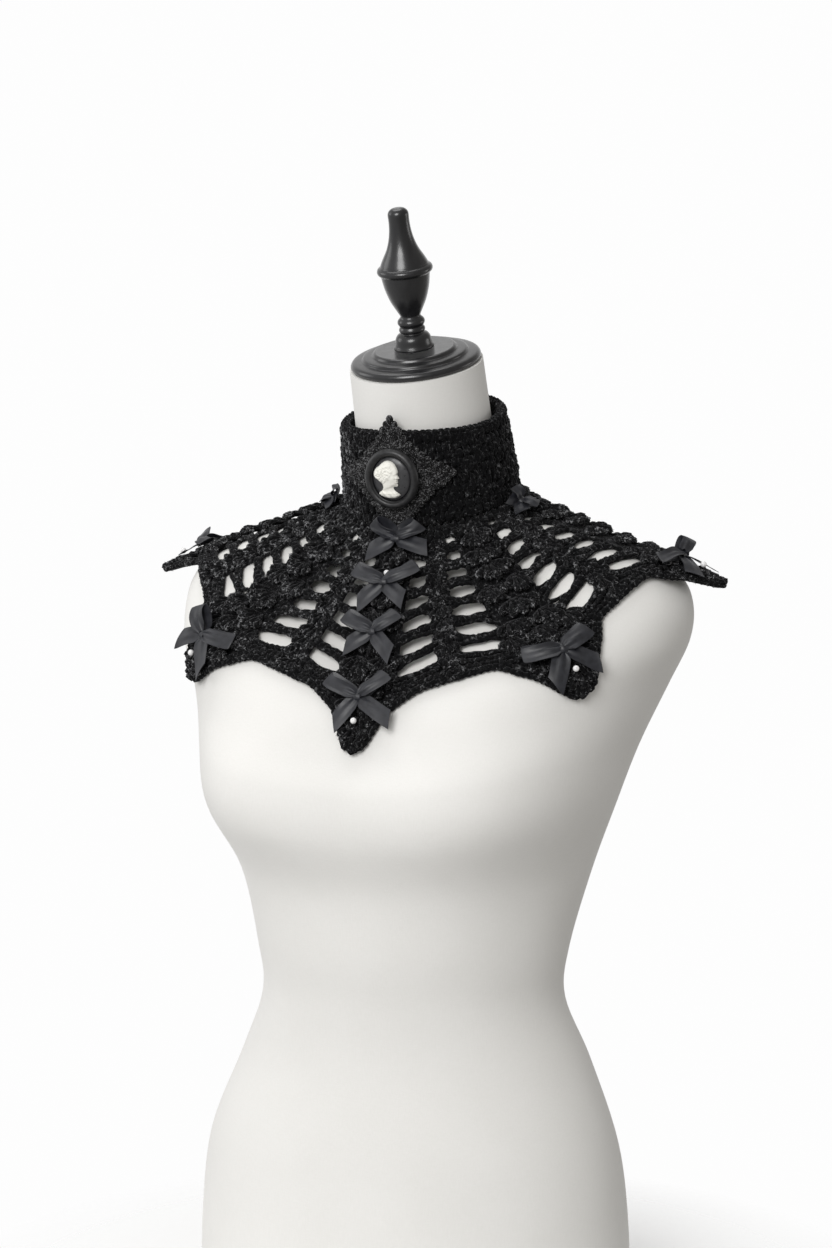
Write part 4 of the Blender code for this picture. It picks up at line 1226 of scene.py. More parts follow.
@dataclass
class Yoke:
    """The chenille web over the shoulders: thin ground sheets with the stitches on them."""

    web: Web
    drape: Drape
    band: NeckBand
    piece: Piece = field(init=False)
    draw: np.random.Generator = field(default_factory=lambda: np.random.default_rng(11))
    yarn: float = 1.75
    link: float = 4.6
    # the ground's faces over the form, how far it draws back from its edges, and how finely it is cut
    ground_faces: tuple = (1.1, 2.2)
    ground_ease: float = 1.6
    ground_steps: int = 3
    closure_half: float = 0.25
    # the heights of shells and chains over the form, at the collar and further out
    rise_distance: float = 36.0
    spine_lifts: tuple = (5.2, 9.6)
    rib_lifts: tuple = (5.0, 6.4)
    chain_height: float = 3.0
    # shells on the spines: width, length, the cloth under their stitches and the scatter of one to the next
    shell_width: float = 24.0
    shell_length: float = 18.0
    shell_half: float = 78.0
    shell_cloth: float = 1.9
    shell_scatter: float = 0.6
    rib_shell: tuple = (15.0, 12.5)
    rib_pitch: float = 9.8
    rib_end: float = 114.0
    # distance, share of the leaf point's width and height of the rows of shells past the openings
    leaf_shells: tuple = (
        (119.5, 1.02, 9.4), (131.0, 0.98, 8.9), (142.0, 0.84, 8.6), (151.5, 0.66, 8.5), (159.0, 0.5, 8.2),
    )
    # distance, width, length, height and stitches of the last shell
    tip_shell: tuple = (154.0, 13.5, 11.5, 8.0, 4)
    # distances of the hem under the middle of an opening's column
    hem_distances: tuple = (126.0, 123.0, 121.0)
    hem_insets: tuple = (1.5, 4.6)
    hem_radius: float = 1.65
    posts: int = 75
    post_radius: float = 2.5
    # short fibres that stand out of a field's yarn: how many, their length and width
    fuzz: tuple = (16000, 1.3, 0.24)
    # how much brighter a field's painted glints are, where more light falls on it
    painted_side_light: dict = field(default_factory=lambda: {"right": 1.8, "left": 1.35})

    def ground(self, name: str, first: int, last: int) -> Piece:
        """The thin dark ground between two columns, cut through at the openings.

        Args:
            name: The piece's name.
            first: Its first column.
            last: Its last column.

        Returns:
            The piece.
        """
        fine = self.ground_steps
        cells: list = []
        where: dict = {}
        for column in range(first, last):
            for row in range(1, self.web.last_row(column)):
                if not self.web.is_open(column, row):
                    self.patch(column, row, cells, where)
        angle, distance = np.array(list(where.values())).T
        ends = np.array([(key[0] == first * fine) - (key[0] == last * fine) for key in where], float)
        angle = self.drape.beside(angle, distance, self.closure_half * ends)
        faces = [self.drape.over(angle, distance, height) for height in self.ground_faces]
        inner, outer = (dict(zip(where, face)) for face in faces)
        for column in range(first * fine, last * fine + 1):
            at = where[(column, fine)][0]
            level = self.band.seam(at) - 0.2
            outer[(column, 0)] = self.band.point(at, level, -1.6)
            inner[(column, 0)] = self.band.point(at, level - 0.6, -3.4)
            cells.append(((column, 0), (column, fine), (column + 1, fine), (column + 1, 0)))
        ground = Piece(name)
        ground.add(*wall(cells[:-1], outer, inner))
        return ground

    def patch(self, column: int, row: int, cells: list, where: dict) -> None:
        """One cell of the web's layout, in the ground's finer cells.

        Args:
            column: Its first column.
            row: Its first row line.
            cells: The list that takes the cells' corners.
            where: The table that takes each corner's chart angle and distance.
        """
        fine, ease = self.ground_steps, self.ground_ease
        near = itertools.product((0, 1), repeat=2)
        spots = [np.array(self.web.spot(column + right, row + down, ease)) for down, right in near]
        for i, j in itertools.product(range(fine + 1), repeat=2):
            top = spots[0] * (1 - i / fine) + spots[1] * (i / fine)
            low = spots[2] * (1 - i / fine) + spots[3] * (i / fine)
            where[(column * fine + i, row * fine + j)] = top * (1 - j / fine) + low * (j / fine)
        for i, j in itertools.product(range(fine), repeat=2):
            across, down = column * fine + i, row * fine + j
            cells.append(((across, down), (across, down + 1), (across + 1, down + 1), (across + 1, down)))

    def high(self, distance: float, heights: tuple) -> float:
        """A height that grows from the collar's foot outward."""
        return heights[0] + (heights[1] - heights[0]) * min(1.0, max(distance, 0.0) / self.rise_distance)

    def shell(self, shell: Shell) -> None:
        """One shell of tall stitches that fans outward from a point and swells at its scalloped edge.

        Args:
            shell: Its place and size.
        """
        sweep = np.linspace(1, -1, 3 * shell.petals + 1)
        share = np.linspace(0, 1, 6)[:, None]
        lobe = np.abs(np.sin(math.pi * shell.petals * (sweep + 1) / 2)) ** 0.8
        ragged = np.interp(sweep, np.linspace(-1, 1, shell.petals), self.draw.uniform(-1, 1, shell.petals))
        reach = 1 + (0.26 * (lobe - 1) + 0.06 * ragged) * share**1.5
        across, outward = shell.fan(sweep * math.radians(self.shell_half), share, 0.8, reach)
        crown = (shell.lift - 4.8) * (0.62 + 0.38 * lobe) + 0.6 * ragged
        height = 2.2 + crown * np.sin(share * math.pi * 0.57) ** 1.1
        outward = shell.distance + outward
        spots = self.drape.beside(shell.angle, outward, across)
        net = self.drape.over(spots, outward, height)
        net = net + 0.5 * np.stack([grain(net, 2.6, seed) for seed in range(3)], axis=-1)
        # Painted glint rises from the shaded foot of the shell to its lit lobes; the rim and the thin strands
        # on it carry the brightest painted highlights.
        crest = GLINT.cloth + 0.42 * share**2.5 * (0.2 + 0.8 * lobe)
        self.piece.cloth(net, self.shell_cloth, crest=crest)
        self.piece.tubes(net[-1], 1.5, 5, lumps=0.55, crest=GLINT.rim)
        strands = [self.drape.over(spots[row], outward[row], height[row] + 1.75) for row in (-2, -1)]
        self.piece.tubes(strands, 0.45, 3, lumps=0.3, crest=GLINT.strand)
        self.stitches(shell)

    def stitches(self, shell: Shell) -> None:
        """The fat stitches of one shell, that open outward and curl over its edge.

        Args:
            shell: The shell's place and size.
        """
        share = np.linspace(0.25, 1.03, 6)
        paths = []
        for number in range(shell.petals):
            middle = ((number + 0.5) / shell.petals - 0.5) * 2 * math.radians(self.shell_half)
            turn = middle + self.draw.normal(0, 0.05)
            across, outward = shell.fan(turn, share, 0.6, self.draw.uniform(0.93, 1.05))
            crown = shell.lift - 4.3 + self.draw.normal(0, 0.35)
            curl = 1.6 * np.maximum(share - 0.85, 0) / 0.18
            height = 2.6 + crown * np.sin(share * math.pi * 0.57) ** 1.1 - curl
            spots = self.drape.beside(shell.angle, shell.distance + outward, across)
            paths.append(self.drape.over(spots, shell.distance + outward, height))
        fat = min(1.95, 0.36 * (shell.width + shell.length) / shell.petals)
        radii = fat * np.array((0.5, 0.72, 0.9, 1.0, 1.0, 0.6))
        # Painted glint grows from the shaded root of each stitch to its lit tip.
        self.piece.tubes(paths, radii, 6, lumps=0.6, crest=np.linspace(0.1, 1.2, 6) ** 1.5)

    def chain(self, places: Array, height: float, width: float, radius: float) -> None:
        """A chain of interlocked loops along a line of chart places."""
        base = self.drape.over(*places.T, height)
        self.chain_along(base, self.drape.away(*places.T), width, radius)

    def chain_along(self, base: Array, away: Array, width: float, radius: float) -> None:
        """A chain of interlocked loops along a line of points.

        Args:
            base: The points.
            away: The directions off their ground.
            width: The chain's width.
            radius: The yarn's radius.
        """
        far = walked(base)
        links = max(1, round(far[-1] / self.link))
        pitch = far[-1] / links
        share = np.linspace(0, 1, 6)
        side = unit(np.cross(away, unit(np.gradient(base, axis=0))))
        rise = radius * (0.9 * np.sin(math.pi * share) - 0.45)
        paths = []
        for link, hand in itertools.product(range(links), (-1, 1)):
            along = np.clip((link - 0.15 + share * 1.3) * pitch, 0, far[-1])
            spread = hand * width * (0.10 + 0.30 * np.sin(math.pi * share**0.8)) + self.draw.normal(0, 0.15)
            spot, beside, off = (
                np.stack([np.interp(along, far, column) for column in part.T], 1)
                for part in (base, side, away)
            )
            paths.append(spot + beside * spread[:, None] + off * rise[:, None])
        self.piece.tubes(paths, rounded(len(share), radius, 0.15), 6, lumps=0.4, crest=GLINT.chain)

    def border(self, spine: int, side: int, ring: int) -> None:
        """The yarn round one opening.

        Args:
            spine: The number of the spine beside it.
            side: Its side of the spine, -1 or 1.
            ring: The number of the opening, outward.
        """
        opening = self.web.openings[ring]
        middle = self.web.opening_angle
        drawn = 1.3 * self.yarn
        degree = float(self.drape.degree(spine * self.web.spine_angle + side * middle, opening.centre))
        end = opening.half_angle + drawn / degree
        short = opening.half_height * self.web.end_share + drawn * 0.75
        upright = (opening.slant / 2, short, opening.half_height + drawn)
        corners = np.stack([end * RING_CORNERS[:, 0], RING_CORNERS[:, 1:] @ upright], axis=1)
        taper = self.draw.uniform(-0.5, 0.5)
        corners[:, 1] *= 1 - np.maximum(taper * np.sign(corners[:, 0]), 0) * np.abs(corners[:, 0]) / end
        scatter = (34 / (self.drape.start + opening.centre), 0.6)
        corners += self.draw.normal(0, 1, corners.shape) * scatter
        line = spline(corners, 36, closed=True)
        angle = spine * self.web.spine_angle + side * (middle + line[:, 0])
        distance = opening.centre + line[:, 1]
        turn = full_turn(len(line))
        path = self.drape.over(angle, distance, 2.7 + 0.5 * np.sin(3 * turn + spine + ring))
        radii = 0.92 * self.yarn * (1 + 0.2 * np.sin(9 * turn))
        normals = self.drape.away(angle, distance)[None]
        self.piece.tubes(path, radii, 6, closed=True, lumps=0.5, normals=normals, crest=GLINT.border)

    def bars(self, spine: int, side: int) -> None:
        """The chains that cross from a spine to the rib beside it.

        Args:
            spine: The spine's number.
            side: The side of the spine, -1 or 1.
        """
        web = self.web
        share = np.linspace(0, 1, 12)
        bow = np.sin(share * math.pi) * (1 - web.end_share)
        for here, beyond in itertools.zip_longest(web.openings, web.openings[1:]):
            last = beyond is None
            beyond = here if last else beyond
            inner = web.opening_angle - (here.half_angle + beyond.half_angle) / 2
            angle = inner - 0.8 + (2 * (web.opening_angle - inner) + 1.6) * share
            angle = spine * web.spine_angle + side * angle
            tilt = (0.5 - share) * (here.slant + beyond.slant) / 2
            low = here.centre + tilt + here.half_height * (web.end_share + bow)
            if last:
                high = np.interp(share, (0, 0.5, 1), self.hem_distances)
                for part in (0.3, 0.72):
                    line = np.stack([angle, low + (high - low) * part], 1)
                    self.chain(line, self.chain_height + 0.1, 5.6, self.yarn)
            else:
                high = beyond.centre + tilt - beyond.half_height * (web.end_share + bow)
                line = np.stack([angle, (low + high) / 2], 1)
                self.chain(line, self.chain_height, 1.8, self.yarn * 0.9)

    def spine(self, number: int) -> None:
        """One spine of overlapping shells with its leaf point.

        Args:
            number: The spine's number.
        """
        web = self.web
        angle = number * web.spine_angle
        for ring, opening in enumerate(web.openings):
            edge = opening.centre + opening.slant / 2 + opening.half_height * web.end_share
            half = web.spine_half(number, ring, edge)
            self.row_of_shells(angle, edge, half, 0.5 * (ring % 2), self.high(edge, self.spine_lifts))
        base = web.half_base(number) * float(self.drape.degree(angle, web.leaf_base))
        for row, (distance, share, lift) in enumerate(self.leaf_shells):
            self.row_of_shells(angle, distance, base * share, 0.5 * (row % 2), lift)
        self.shell(Shell(angle, *self.tip_shell))

    def row_of_shells(self, angle: float, edge: float, half: float, shift: float, lift: float) -> None:
        """Shells side by side across a spine.

        Args:
            angle: The spine's chart angle.
            edge: Chart distance of their scalloped edge.
            half: Half the row's width.
            shift: How far the row is staggered, as a share of one shell.
            lift: The height of their edges in the middle.
        """
        count = max(1, round(2 * half / self.shell_width - shift))
        width = 2 * half / (count + shift)
        for number in range(count):
            across = (number - (count - 1) / 2) * width + self.draw.normal(0, self.shell_scatter)
            droop = 1.2 * (abs(across) / max(half, 1.0)) ** 2
            length = min(self.shell_length, 0.45 * edge + 7.0) * self.draw.uniform(0.92, 1.08)
            foot = edge - length + 1.0 + self.draw.normal(0, 0.5) - 0.03 * abs(across)
            at = float(self.drape.beside(angle, foot + length / 2, across))
            self.shell(Shell(at, foot, width * 1.12, length, lift - droop + self.draw.normal(0, 0.4)))

    def rib(self, spine: int) -> None:
        """The rib after a spine: low shells one below the other.

        Args:
            spine: The spine's number.
        """
        web = self.web
        angle = spine * web.spine_angle + web.rib_angle
        centres = [opening.centre for opening in web.openings]
        halves = [opening.half_angle for opening in web.openings]
        usual, length = self.rib_shell
        distance = 0.5
        while distance < self.rib_end:
            clear = web.rib_angle - web.opening_angle - np.interp(distance + 5, centres, halves)
            half = clear * float(self.drape.degree(angle, distance))
            count = max(1, round(2 * half / usual))
            width = 2 * half / count
            for number in range(count):
                across = (number - (count - 1) / 2) * width
                at = float(self.drape.beside(angle, distance + 4, across))
                foot = distance + self.draw.normal(0, 0.4)
                lift = self.high(distance, self.rib_lifts)
                self.shell(Shell(at, foot, width * 1.1, length, lift, 4))
            distance += self.rib_pitch

    def hem(self, spine: int) -> None:
        """The bordering yarn and the chain along the free edge of one spine's field.

        Args:
            spine: The spine's number.
        """
        lines = []
        for inset in self.hem_insets:
            line = spline(self.web.hem_line(spine, inset), 120)
            far = walked(self.drape.over(line[:, 0], line[:, 1], 3.0))
            even = np.linspace(0, far[-1], 170)
            lines.append((even, np.stack([np.interp(even, far, line[:, axis]) for axis in (0, 1)], 1)))
        (even, edge), (_, inner) = lines
        swell = 1 + 0.2 * np.sin(even * 2 * math.pi / 4.4)
        path = self.drape.over(edge[:, 0], edge[:, 1], 3.0)
        self.piece.tubes(path, self.hem_radius * swell, 7, lumps=0.42, crest=GLINT.hem)
        self.chain(inner, 3.4, 4.6, self.yarn * 0.9)

    def foot(self, first: float, last: float) -> None:
        """The posts that turn from the yoke up to the collar.

        Args:
            first: The chart angle where they start.
            last: The chart angle where they end.
        """
        count = round((last - first) * self.posts / 360)
        paths = []
        for number in range(count):
            angle = first + (number + 0.5) * (last - first) / count
            lean = self.draw.normal(0, 0.8)
            seam = self.band.seam(angle)
            low = self.drape.over(angle + lean, 5.2, 3.4)
            bend = self.drape.over(angle, 0.6, 3.4)
            mid = self.band.point(angle, seam - 3.5, 0.6)
            top = self.band.point(angle - lean, seam + 2.5, -0.6)
            paths.append(spline([low, bend, mid, top], 8))
        self.piece.tubes(paths, rounded(8, self.post_radius, 0.1), 7, lumps=0.42, crest=GLINT.post)

    def build(self) -> None:
        """Build and dress the whole yoke."""
        pitch = self.web.spine_angle
        for name, spines in FIELDS.items():
            self.piece = Piece(f"yoke_yarn_{name}")
            for spine in spines:
                for side in (-1, 1):
                    for ring in range(len(self.web.openings)):
                        self.border(spine, side, ring)
                    self.bars(spine, side)
                self.spine(spine)
                self.rib(spine)
                self.hem(spine)
                self.foot((spine - 0.5) * pitch, (spine + 0.5) * pitch)
            self.piece.fibres(*self.fuzz, self.draw)
            # Painted light: a field that catches more light gets brighter flecks.
            self.piece.painted_glints = [self.painted_side_light.get(name, 1.0) * crest for crest in self.piece.painted_glints]
            self.piece.make([CHENILLE])
        sheets = (
            ("yoke_front", -25, 25, (0.62, 0.26), 0.075, ("front", "right")),
            ("yoke_back_left", 25, 40, (0.20, 0.21), 0.0166, ("left",)),
            ("yoke_back_right", -40, -25, (0.20, 0.21), 0.0166, ("back",)),
        )
        for node, first, last, flat, area, names in sheets:
            ground = self.ground(f"ground_{node}", first, last).make([CHENILLE])
            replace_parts(ground, node)


@dataclass
class CollarStand:
    """The standing collar: a ground band with upright stitches, closed at the back by buttons."""

    band: NeckBand
    yoke: Yoke
    wales: int = 60
    rows: int = 10
    yarn: float = 1.75
    cord: float = 1.5
    columns: int = 144
    rings: int = 14
    thick: float = 2.6
    ground_inset: float = 3.6
    fuzz: tuple = (14000, 1.1, 0.22)
    # the plain painted glint on the flecks of the collar's stitches
    pile: float = 0.34
    # height, chart angle and spread of the stretches with brighter painted glints, where the side light falls
    painted_side_light: tuple = ((4.6, -66.0, 21.0), (1.9, 108.0, 14.0))

    def build(self) -> None:
        """Build and dress the collar."""
        band = self.band
        slit = math.degrees(band.slit_half / band.radius)
        base = Piece("collar_ground")
        angle = np.linspace(-180 + slit, 180 - slit, self.columns + 1)
        share = np.linspace(0, 1, self.rings)[:, None]
        level = band.seam(angle) + 0.2 + (band.top(angle) - 1.6 - band.seam(angle)) * share
        base.cloth(band.point(angle[None, :], level, -self.ground_inset), self.thick)
        ground = base.make([CHENILLE])
        yarn = self.yoke.piece = Piece("collar_yarn")
        self.stitches()
        self.edges(slit)
        yarn.fibres(*self.fuzz, self.yoke.draw)
        made = [yarn.make([CHENILLE])]
        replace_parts(ground, "collar_stand")

    def stitches(self) -> None:
        """The rows of upright stitches, two legs each."""
        band, draw = self.band, self.yoke.draw
        share = np.linspace(0, 1, 6)
        pitch = 360.0 / (self.wales + 0.4)
        middles = -180 + pitch * (np.arange(self.wales) + 0.7)
        spread = pitch * (0.05 + 0.24 * np.sin(math.pi * (0.12 + 0.66 * share)))
        paths = []
        for middle, row, hand in itertools.product(middles, range(self.rows), (-1, 1)):
            foot = float(band.seam(middle)) + 1.5
            tall = (float(band.top(middle)) - 3.2 - foot) / self.rows
            level = foot + tall * (row + 1.3 * share) + draw.normal(0, 0.8)
            aside = middle + hand * spread + draw.normal(0, 0.7)
            height = -2.1 + 1.3 * np.sin(math.pi * share) + draw.normal(0, 0.4)
            paths.append(band.point(aside, np.minimum(level, band.top(middle) - 2.0), height))
        turn = np.repeat(middles, 2 * self.rows)[:, None] + 0 * share
        # Painted light: brighter flecks on the stretches of the collar that the side light falls on, over the
        # plain painted glint.
        pile = self.pile + sum(tall * np.exp(-(((turn - at) / wide) ** 2)) for tall, at, wide in self.painted_side_light)
        self.yoke.piece.tubes(paths, rounded(len(share), self.yarn, 0.15), 6, lumps=0.5, crest=pile)

    def edges(self, slit: float) -> None:
        """The chains along the top and the cords beside the slit.

        Args:
            slit: Half the slit's chart angle.
        """
        band = self.band
        angle = np.linspace(-180 + slit + 1.5, 180 - slit - 1.5, 240)
        _foot, upward, _forward = band.axes()
        rim = band.point(angle, band.top(angle) - 2.0, -2.6)
        self.yoke.chain_along(rim, np.broadcast_to(upward, rim.shape), 4.6, self.cord)
        row = band.point(angle, band.top(angle) - 4.6, -1.3)
        self.yoke.chain_along(row, band.away(angle), 2.4, self.cord)
        for side in (-1, 1):
            at = side * (180 - slit - math.degrees(self.cord / band.radius))
            level = np.linspace(float(band.seam(at)) + 1.0, float(band.top(at)) - 2.0, 40)
            radii = 1.45 * (1 + 0.12 * np.sin(level * 1.5))
            self.yoke.piece.tubes(band.point(at, level, -2.0), radii, 7, lumps=0.3)


@dataclass
class Medallion:
    """The thread star at the throat, worked in rounds, with picots on its tips."""

    band: NeckBand
    draw: np.random.Generator
    level: float = 48.0
    reach: float = 42.0
    power: float = 0.86
    # the ground's faces over the star's seat, and the shares of the star where it starts and ends
    faces: tuple = (0.1, 1.0)
    ground_shares: tuple = (0.02, 0.97)
    lift: float = 2.2
    flare_level: float = 16.0
    flare: float = 0.3
    pitch: float = 2.45
    thread: float = 0.72
    first_round: float = 13.0
    picot_pitch: float = 5.6
    picot_size: float = 1.75
    picot_thread: float = 0.95
    # share of a picot's size and height of each of its two turns
    turns: tuple = ((1.0, 1.0), (0.42, 1.5))
    # along, out and size of the lobes of each tip
    tips: tuple = (
        (0.0, -0.4, 2.0), (-3.0, -4.6, 2.0), (3.0, -4.6, 2.0), (0.0, -4.4, 1.6), (-6.2, -8.4, 1.9),
        (6.2, -8.4, 1.9),
    )
    tip_length: float = 6.5

    def over(self, across: Array, up: Array, height: Array | float) -> Array:
        """Points at a height over the star's seat on the collar's front."""
        out = self.lift + self.flare * np.maximum(0.0, self.flare_level - self.level - up) + height
        return self.band.point(np.degrees(across / self.band.radius), self.level + up, out)

    def edge(self, turn: Array, share: float) -> Array:
        """Places across and up on the star's outline, drawn in by a share, at turns from its top."""
        way = np.stack([np.sin(turn), np.cos(turn)])
        return way * share * self.reach / np.sum(np.abs(way) ** self.power, axis=0) ** (1 / self.power)

    def even_turns(self, share: float, pitch: float) -> Array:
        """Turns at an even pitch along the outline.

        Args:
            share: How far out the line lies, as a share of the outline.
            pitch: The distance between them.

        Returns:
            The turns.
        """
        turn = np.linspace(0, 2 * math.pi, 721)
        far = walked(self.edge(turn, share).T)
        count = max(8, round(far[-1] / pitch))
        return np.interp(np.arange(count) * far[-1] / count, far, turn)

    def build(self, collar: str) -> None:
        """Build and dress the star.

        Args:
            collar: The name of the collar's ground that it lies on; not used.
        """
        base = Piece("medallion_ground")
        turn = full_turn(96)
        shares = np.linspace(*self.ground_shares, 9)
        lows = [self.over(*self.edge(turn, share), self.faces[0]) for share in shares]
        tops = [self.over(*self.edge(turn, share), self.faces[1]) for share in shares[::-1]]
        base.lathe(np.array(lows + tops)[:, ::-1])
        ground = base.make([THREAD])
        stitches = Piece("medallion_stitches")
        stitches.tubes(self.rounds(), rounded(4, self.thread, 0.2), 5, lumps=0.16)
        stitches.tubes(self.picots(), self.picot_thread, 6, closed=True, lumps=0.25)
        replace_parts(ground, "medallion")
        made = stitches.make([THREAD])

    def rounds(self) -> list[Array]:
        """The rounds of tight stitches, two legs each.

        Returns:
            The thread's path in each leg.
        """
        share = np.linspace(0, 1, 4)
        paths = []
        size = self.first_round
        while size < self.reach - 0.8:
            part = size / self.reach
            for turn in self.even_turns(part, self.pitch) + self.draw.uniform(0, 0.05):
                spot = self.edge(turn, part)
                radial = spot / max(math.hypot(*spot), 1.0)
                along = np.array((radial[1], -radial[0]))
                for hand in (-1, 1):
                    start = radial * -1.3 + along * 0.12 * hand
                    end = radial * 1.15 + along * 0.8 * hand
                    leg = spot + start + (end - start) * share[:, None] + self.draw.normal(0, 0.16, 2)
                    height = 0.9 + (1.0 + self.draw.normal(0, 0.12)) * np.sin(math.pi * share)
                    paths.append(self.over(leg[:, 0], leg[:, 1], height))
            size += self.pitch * 0.98
        return paths

    def picots(self) -> list[Array]:
        """Round lobes along the outline and on each tip.

        Returns:
            The thread's path in each turn of each lobe.
        """
        lobes = []
        share = self.ground_shares[1]
        for turn in self.even_turns(share, self.picot_pitch):
            spot = self.edge(turn, share)
            if max(abs(spot)) < self.reach - self.tip_length:
                lobes.append((spot, self.picot_size))
        for quarter in full_turn(4):
            axis = np.array((math.sin(quarter), math.cos(quarter)))
            aside = np.array((axis[1], -axis[0]))
            lobes += [(axis * (self.reach + out) + aside * along, size) for along, out, size in self.tips]
        ring = np.stack([np.cos(full_turn(14)), np.sin(full_turn(14))])
        return [
            self.over(*(spot[:, None] + ring * size * wide), height)
            for spot, size in lobes for wide, height in self.turns
        ]


class Hill(NamedTuple):
    """A soft round hill of the relief, or a hollow where it is below zero."""

    tall: float
    across: float
    up: float
    half_width: float
    half_height: float

    def over(self, x: Array, y: Array) -> Array:
        """Its height at places across and up."""
        aside, above = (x - self.across) / self.half_width, (y - self.up) / self.half_height
        return self.tall * np.exp(-(aside**2) - above**2)


@dataclass
class Brooch:
    """The cameo: an oval frame, a dark stone and an ivory relief of a head with pinned-up hair."""

    band: NeckBand
    level: float = 48.0
    half_width: float = 20.0
    half_height: float = 21.6
    stone_width: float = 13.9
    stone_height: float = 15.5
    lift: float = 4.6
    sides: int = 96
    # inset from the oval and height, rim to seat
    rim: tuple = (
        (1.8, 0.0), (0.6, 0.3), (0.0, 1.4), (0.0, 2.6), (0.5, 3.8), (1.5, 4.9), (2.8, 5.4), (3.9, 5.1),
        (4.6, 4.4), (4.8, 3.8), (5.1, 3.6), (5.4, 3.3), (5.7, 2.5), (5.7, 0.2), (4.6, 0.0), (3.0, 0.0),
    )
    dome: tuple = (
        (0.0, 0.6), (0.0, 2.4), (0.3, 2.8), (1.2, 3.3), (3.0, 4.0), (6.0, 4.7), (9.5, 5.0), (13.0, 5.05),
    )
    relief_gap: float = 0.25
    relief_foot: float = 0.25
    relief_pitch: float = 0.26
    relief_box: tuple = ((-12.6, 8.2), (-14.4, 14.2))
    # the bust's outline, across and up from the stone's middle
    outline: tuple = (
        (-7.9, -11.5), (-4.6, -13.1), (0.2, -13.6), (3.8, -13.0), (6.4, -11.3), (5.2, -9.7), (3.2, -8.0),
        (2.2, -6.4), (2.3, -5.2), (3.6, -4.9), (5.0, -4.7), (5.6, -4.0), (5.5, -3.2), (5.2, -2.7),
        (5.8, -2.2), (5.9, -1.6), (5.5, -1.2), (5.9, -0.8), (5.8, -0.2), (5.7, 0.2), (6.9, 0.6),
        (7.1, 1.0), (6.6, 1.9), (6.0, 3.1), (5.8, 3.9), (6.1, 4.6), (6.2, 5.8), (5.8, 7.4),
        (5.0, 9.2), (3.4, 11.4), (0.8, 13.0), (-2.4, 13.2), (-5.4, 11.8), (-7.6, 9.8), (-9.9, 8.4),
        (-11.9, 6.0), (-12.3, 3.2), (-11.0, 0.8), (-8.6, -0.8), (-6.4, -2.4), (-5.6, -4.6), (-5.9, -6.6),
        (-7.2, -8.2), (-9.0, -9.2), (-9.3, -10.4),
    )
    swell: Hill = Hill(0.9, 0.5, 3.0, 5.0, 6.5)
    crown: tuple = (-5.0, 3.5)
    bun: Hill = Hill(1.0, -8.6, 4.8, 2.9, 3.2)
    ear: tuple = (Hill(0.3, -0.6, 1.6, 0.8, 1.3), Hill(-0.3, -0.5, 1.5, 0.35, 0.7))
    # cheek, eye socket, brow, lid, side of the nose, crease, upper lip, mouth and lower lip
    face: tuple = (
        Hill(0.5, 2.6, 0.8, 2.0, 2.2), Hill(-0.45, 4.6, 2.9, 0.9, 0.75), Hill(0.3, 4.9, 4.2, 1.1, 0.7),
        Hill(0.35, 4.6, 2.8, 0.5, 0.38), Hill(0.3, 5.6, 1.0, 0.7, 0.8), Hill(-0.28, 4.6, 0.5, 0.4, 0.7),
        Hill(0.25, 5.0, -1.0, 0.9, 0.45), Hill(-0.25, 5.1, -1.45, 0.8, 0.16),
        Hill(0.22, 4.9, -1.95, 0.8, 0.4),
    )
    rosettes: tuple = ((-7.0, -10.4), (4.2, -11.0))

    def axes(self) -> tuple[Array, Array, Array, Array]:
        """The brooch's middle and its right, up and outward directions."""
        low, middle, high = self.band.point(0.0, self.level + np.array((-10.0, 0.0, 10.0)))
        up = unit(high - low)
        return middle, SIDEWAYS, up, np.cross(SIDEWAYS, up)

    def oval(self, rows: tuple | Array, half_width: float, half_height: float) -> Array:
        """Oval rings.

        Args:
            rows: Each ring's inset from the oval and its height.
            half_width: Half the oval's width.
            half_height: Half its height.

        Returns:
            The rings' points.
        """
        middle, right, up, outward = self.axes()
        turn = full_turn(self.sides)[:, None]
        inset, height = np.moveaxis(np.array(rows)[..., None, None], 1, 0)
        across = np.sin(-turn) * right * (half_width - inset)
        return middle + across + np.cos(turn) * up * (half_height - inset) + outward * (height + self.lift)

    def build(self) -> None:
        """Build and dress frame, stone and relief."""
        mount = Piece("cameo_frame")
        rows = spline(self.rim + self.rim[:1], 44)
        mount.grid(self.oval(rows, self.half_width, self.half_height), around=True)
        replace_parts(mount.make([RESIN], 60.0), "brooch_frame")
        stone = Piece("cameo_stone")
        stone.lathe(self.oval(self.dome, self.stone_width, self.stone_height))
        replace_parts(stone.make([STONE], 60.0), "brooch_stone")
        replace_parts(self.bust().make([IVORY], 70.0), "brooch_relief")

    def fitted(self, spots: Array) -> tuple[Array, Array, Array]:
        """Places moved onto the bust's outline where they lie outside it.

        Args:
            spots: Places across and up.

        Returns:
            The places, whether each was inside, and how deep inside.
        """
        start = spline(self.outline, 260, closed=True)
        way = np.roll(start, -1, 0) - start
        from_start = spots[:, None] - start
        crosses = (from_start[..., 1] < 0) != (from_start[..., 1] < way[:, 1])
        slope = way[:, 0] / np.where(way[:, 1] == 0, 1e-9, way[:, 1])
        inside = np.sum(crosses & (from_start[..., 0] < slope * from_start[..., 1]), 1) % 2 > 0
        along = np.clip(np.sum(from_start * way, -1) / np.sum(way * way, -1), 0, 1)
        nearest = start + way * along[..., None]
        gap = np.linalg.norm(spots[:, None] - nearest, axis=-1)
        best = np.argmin(gap, axis=1)
        every = np.arange(len(spots))
        depth = np.where(inside, gap[every, best], 0.0)
        return np.where(inside[:, None], spots, nearest[every, best]), inside, depth

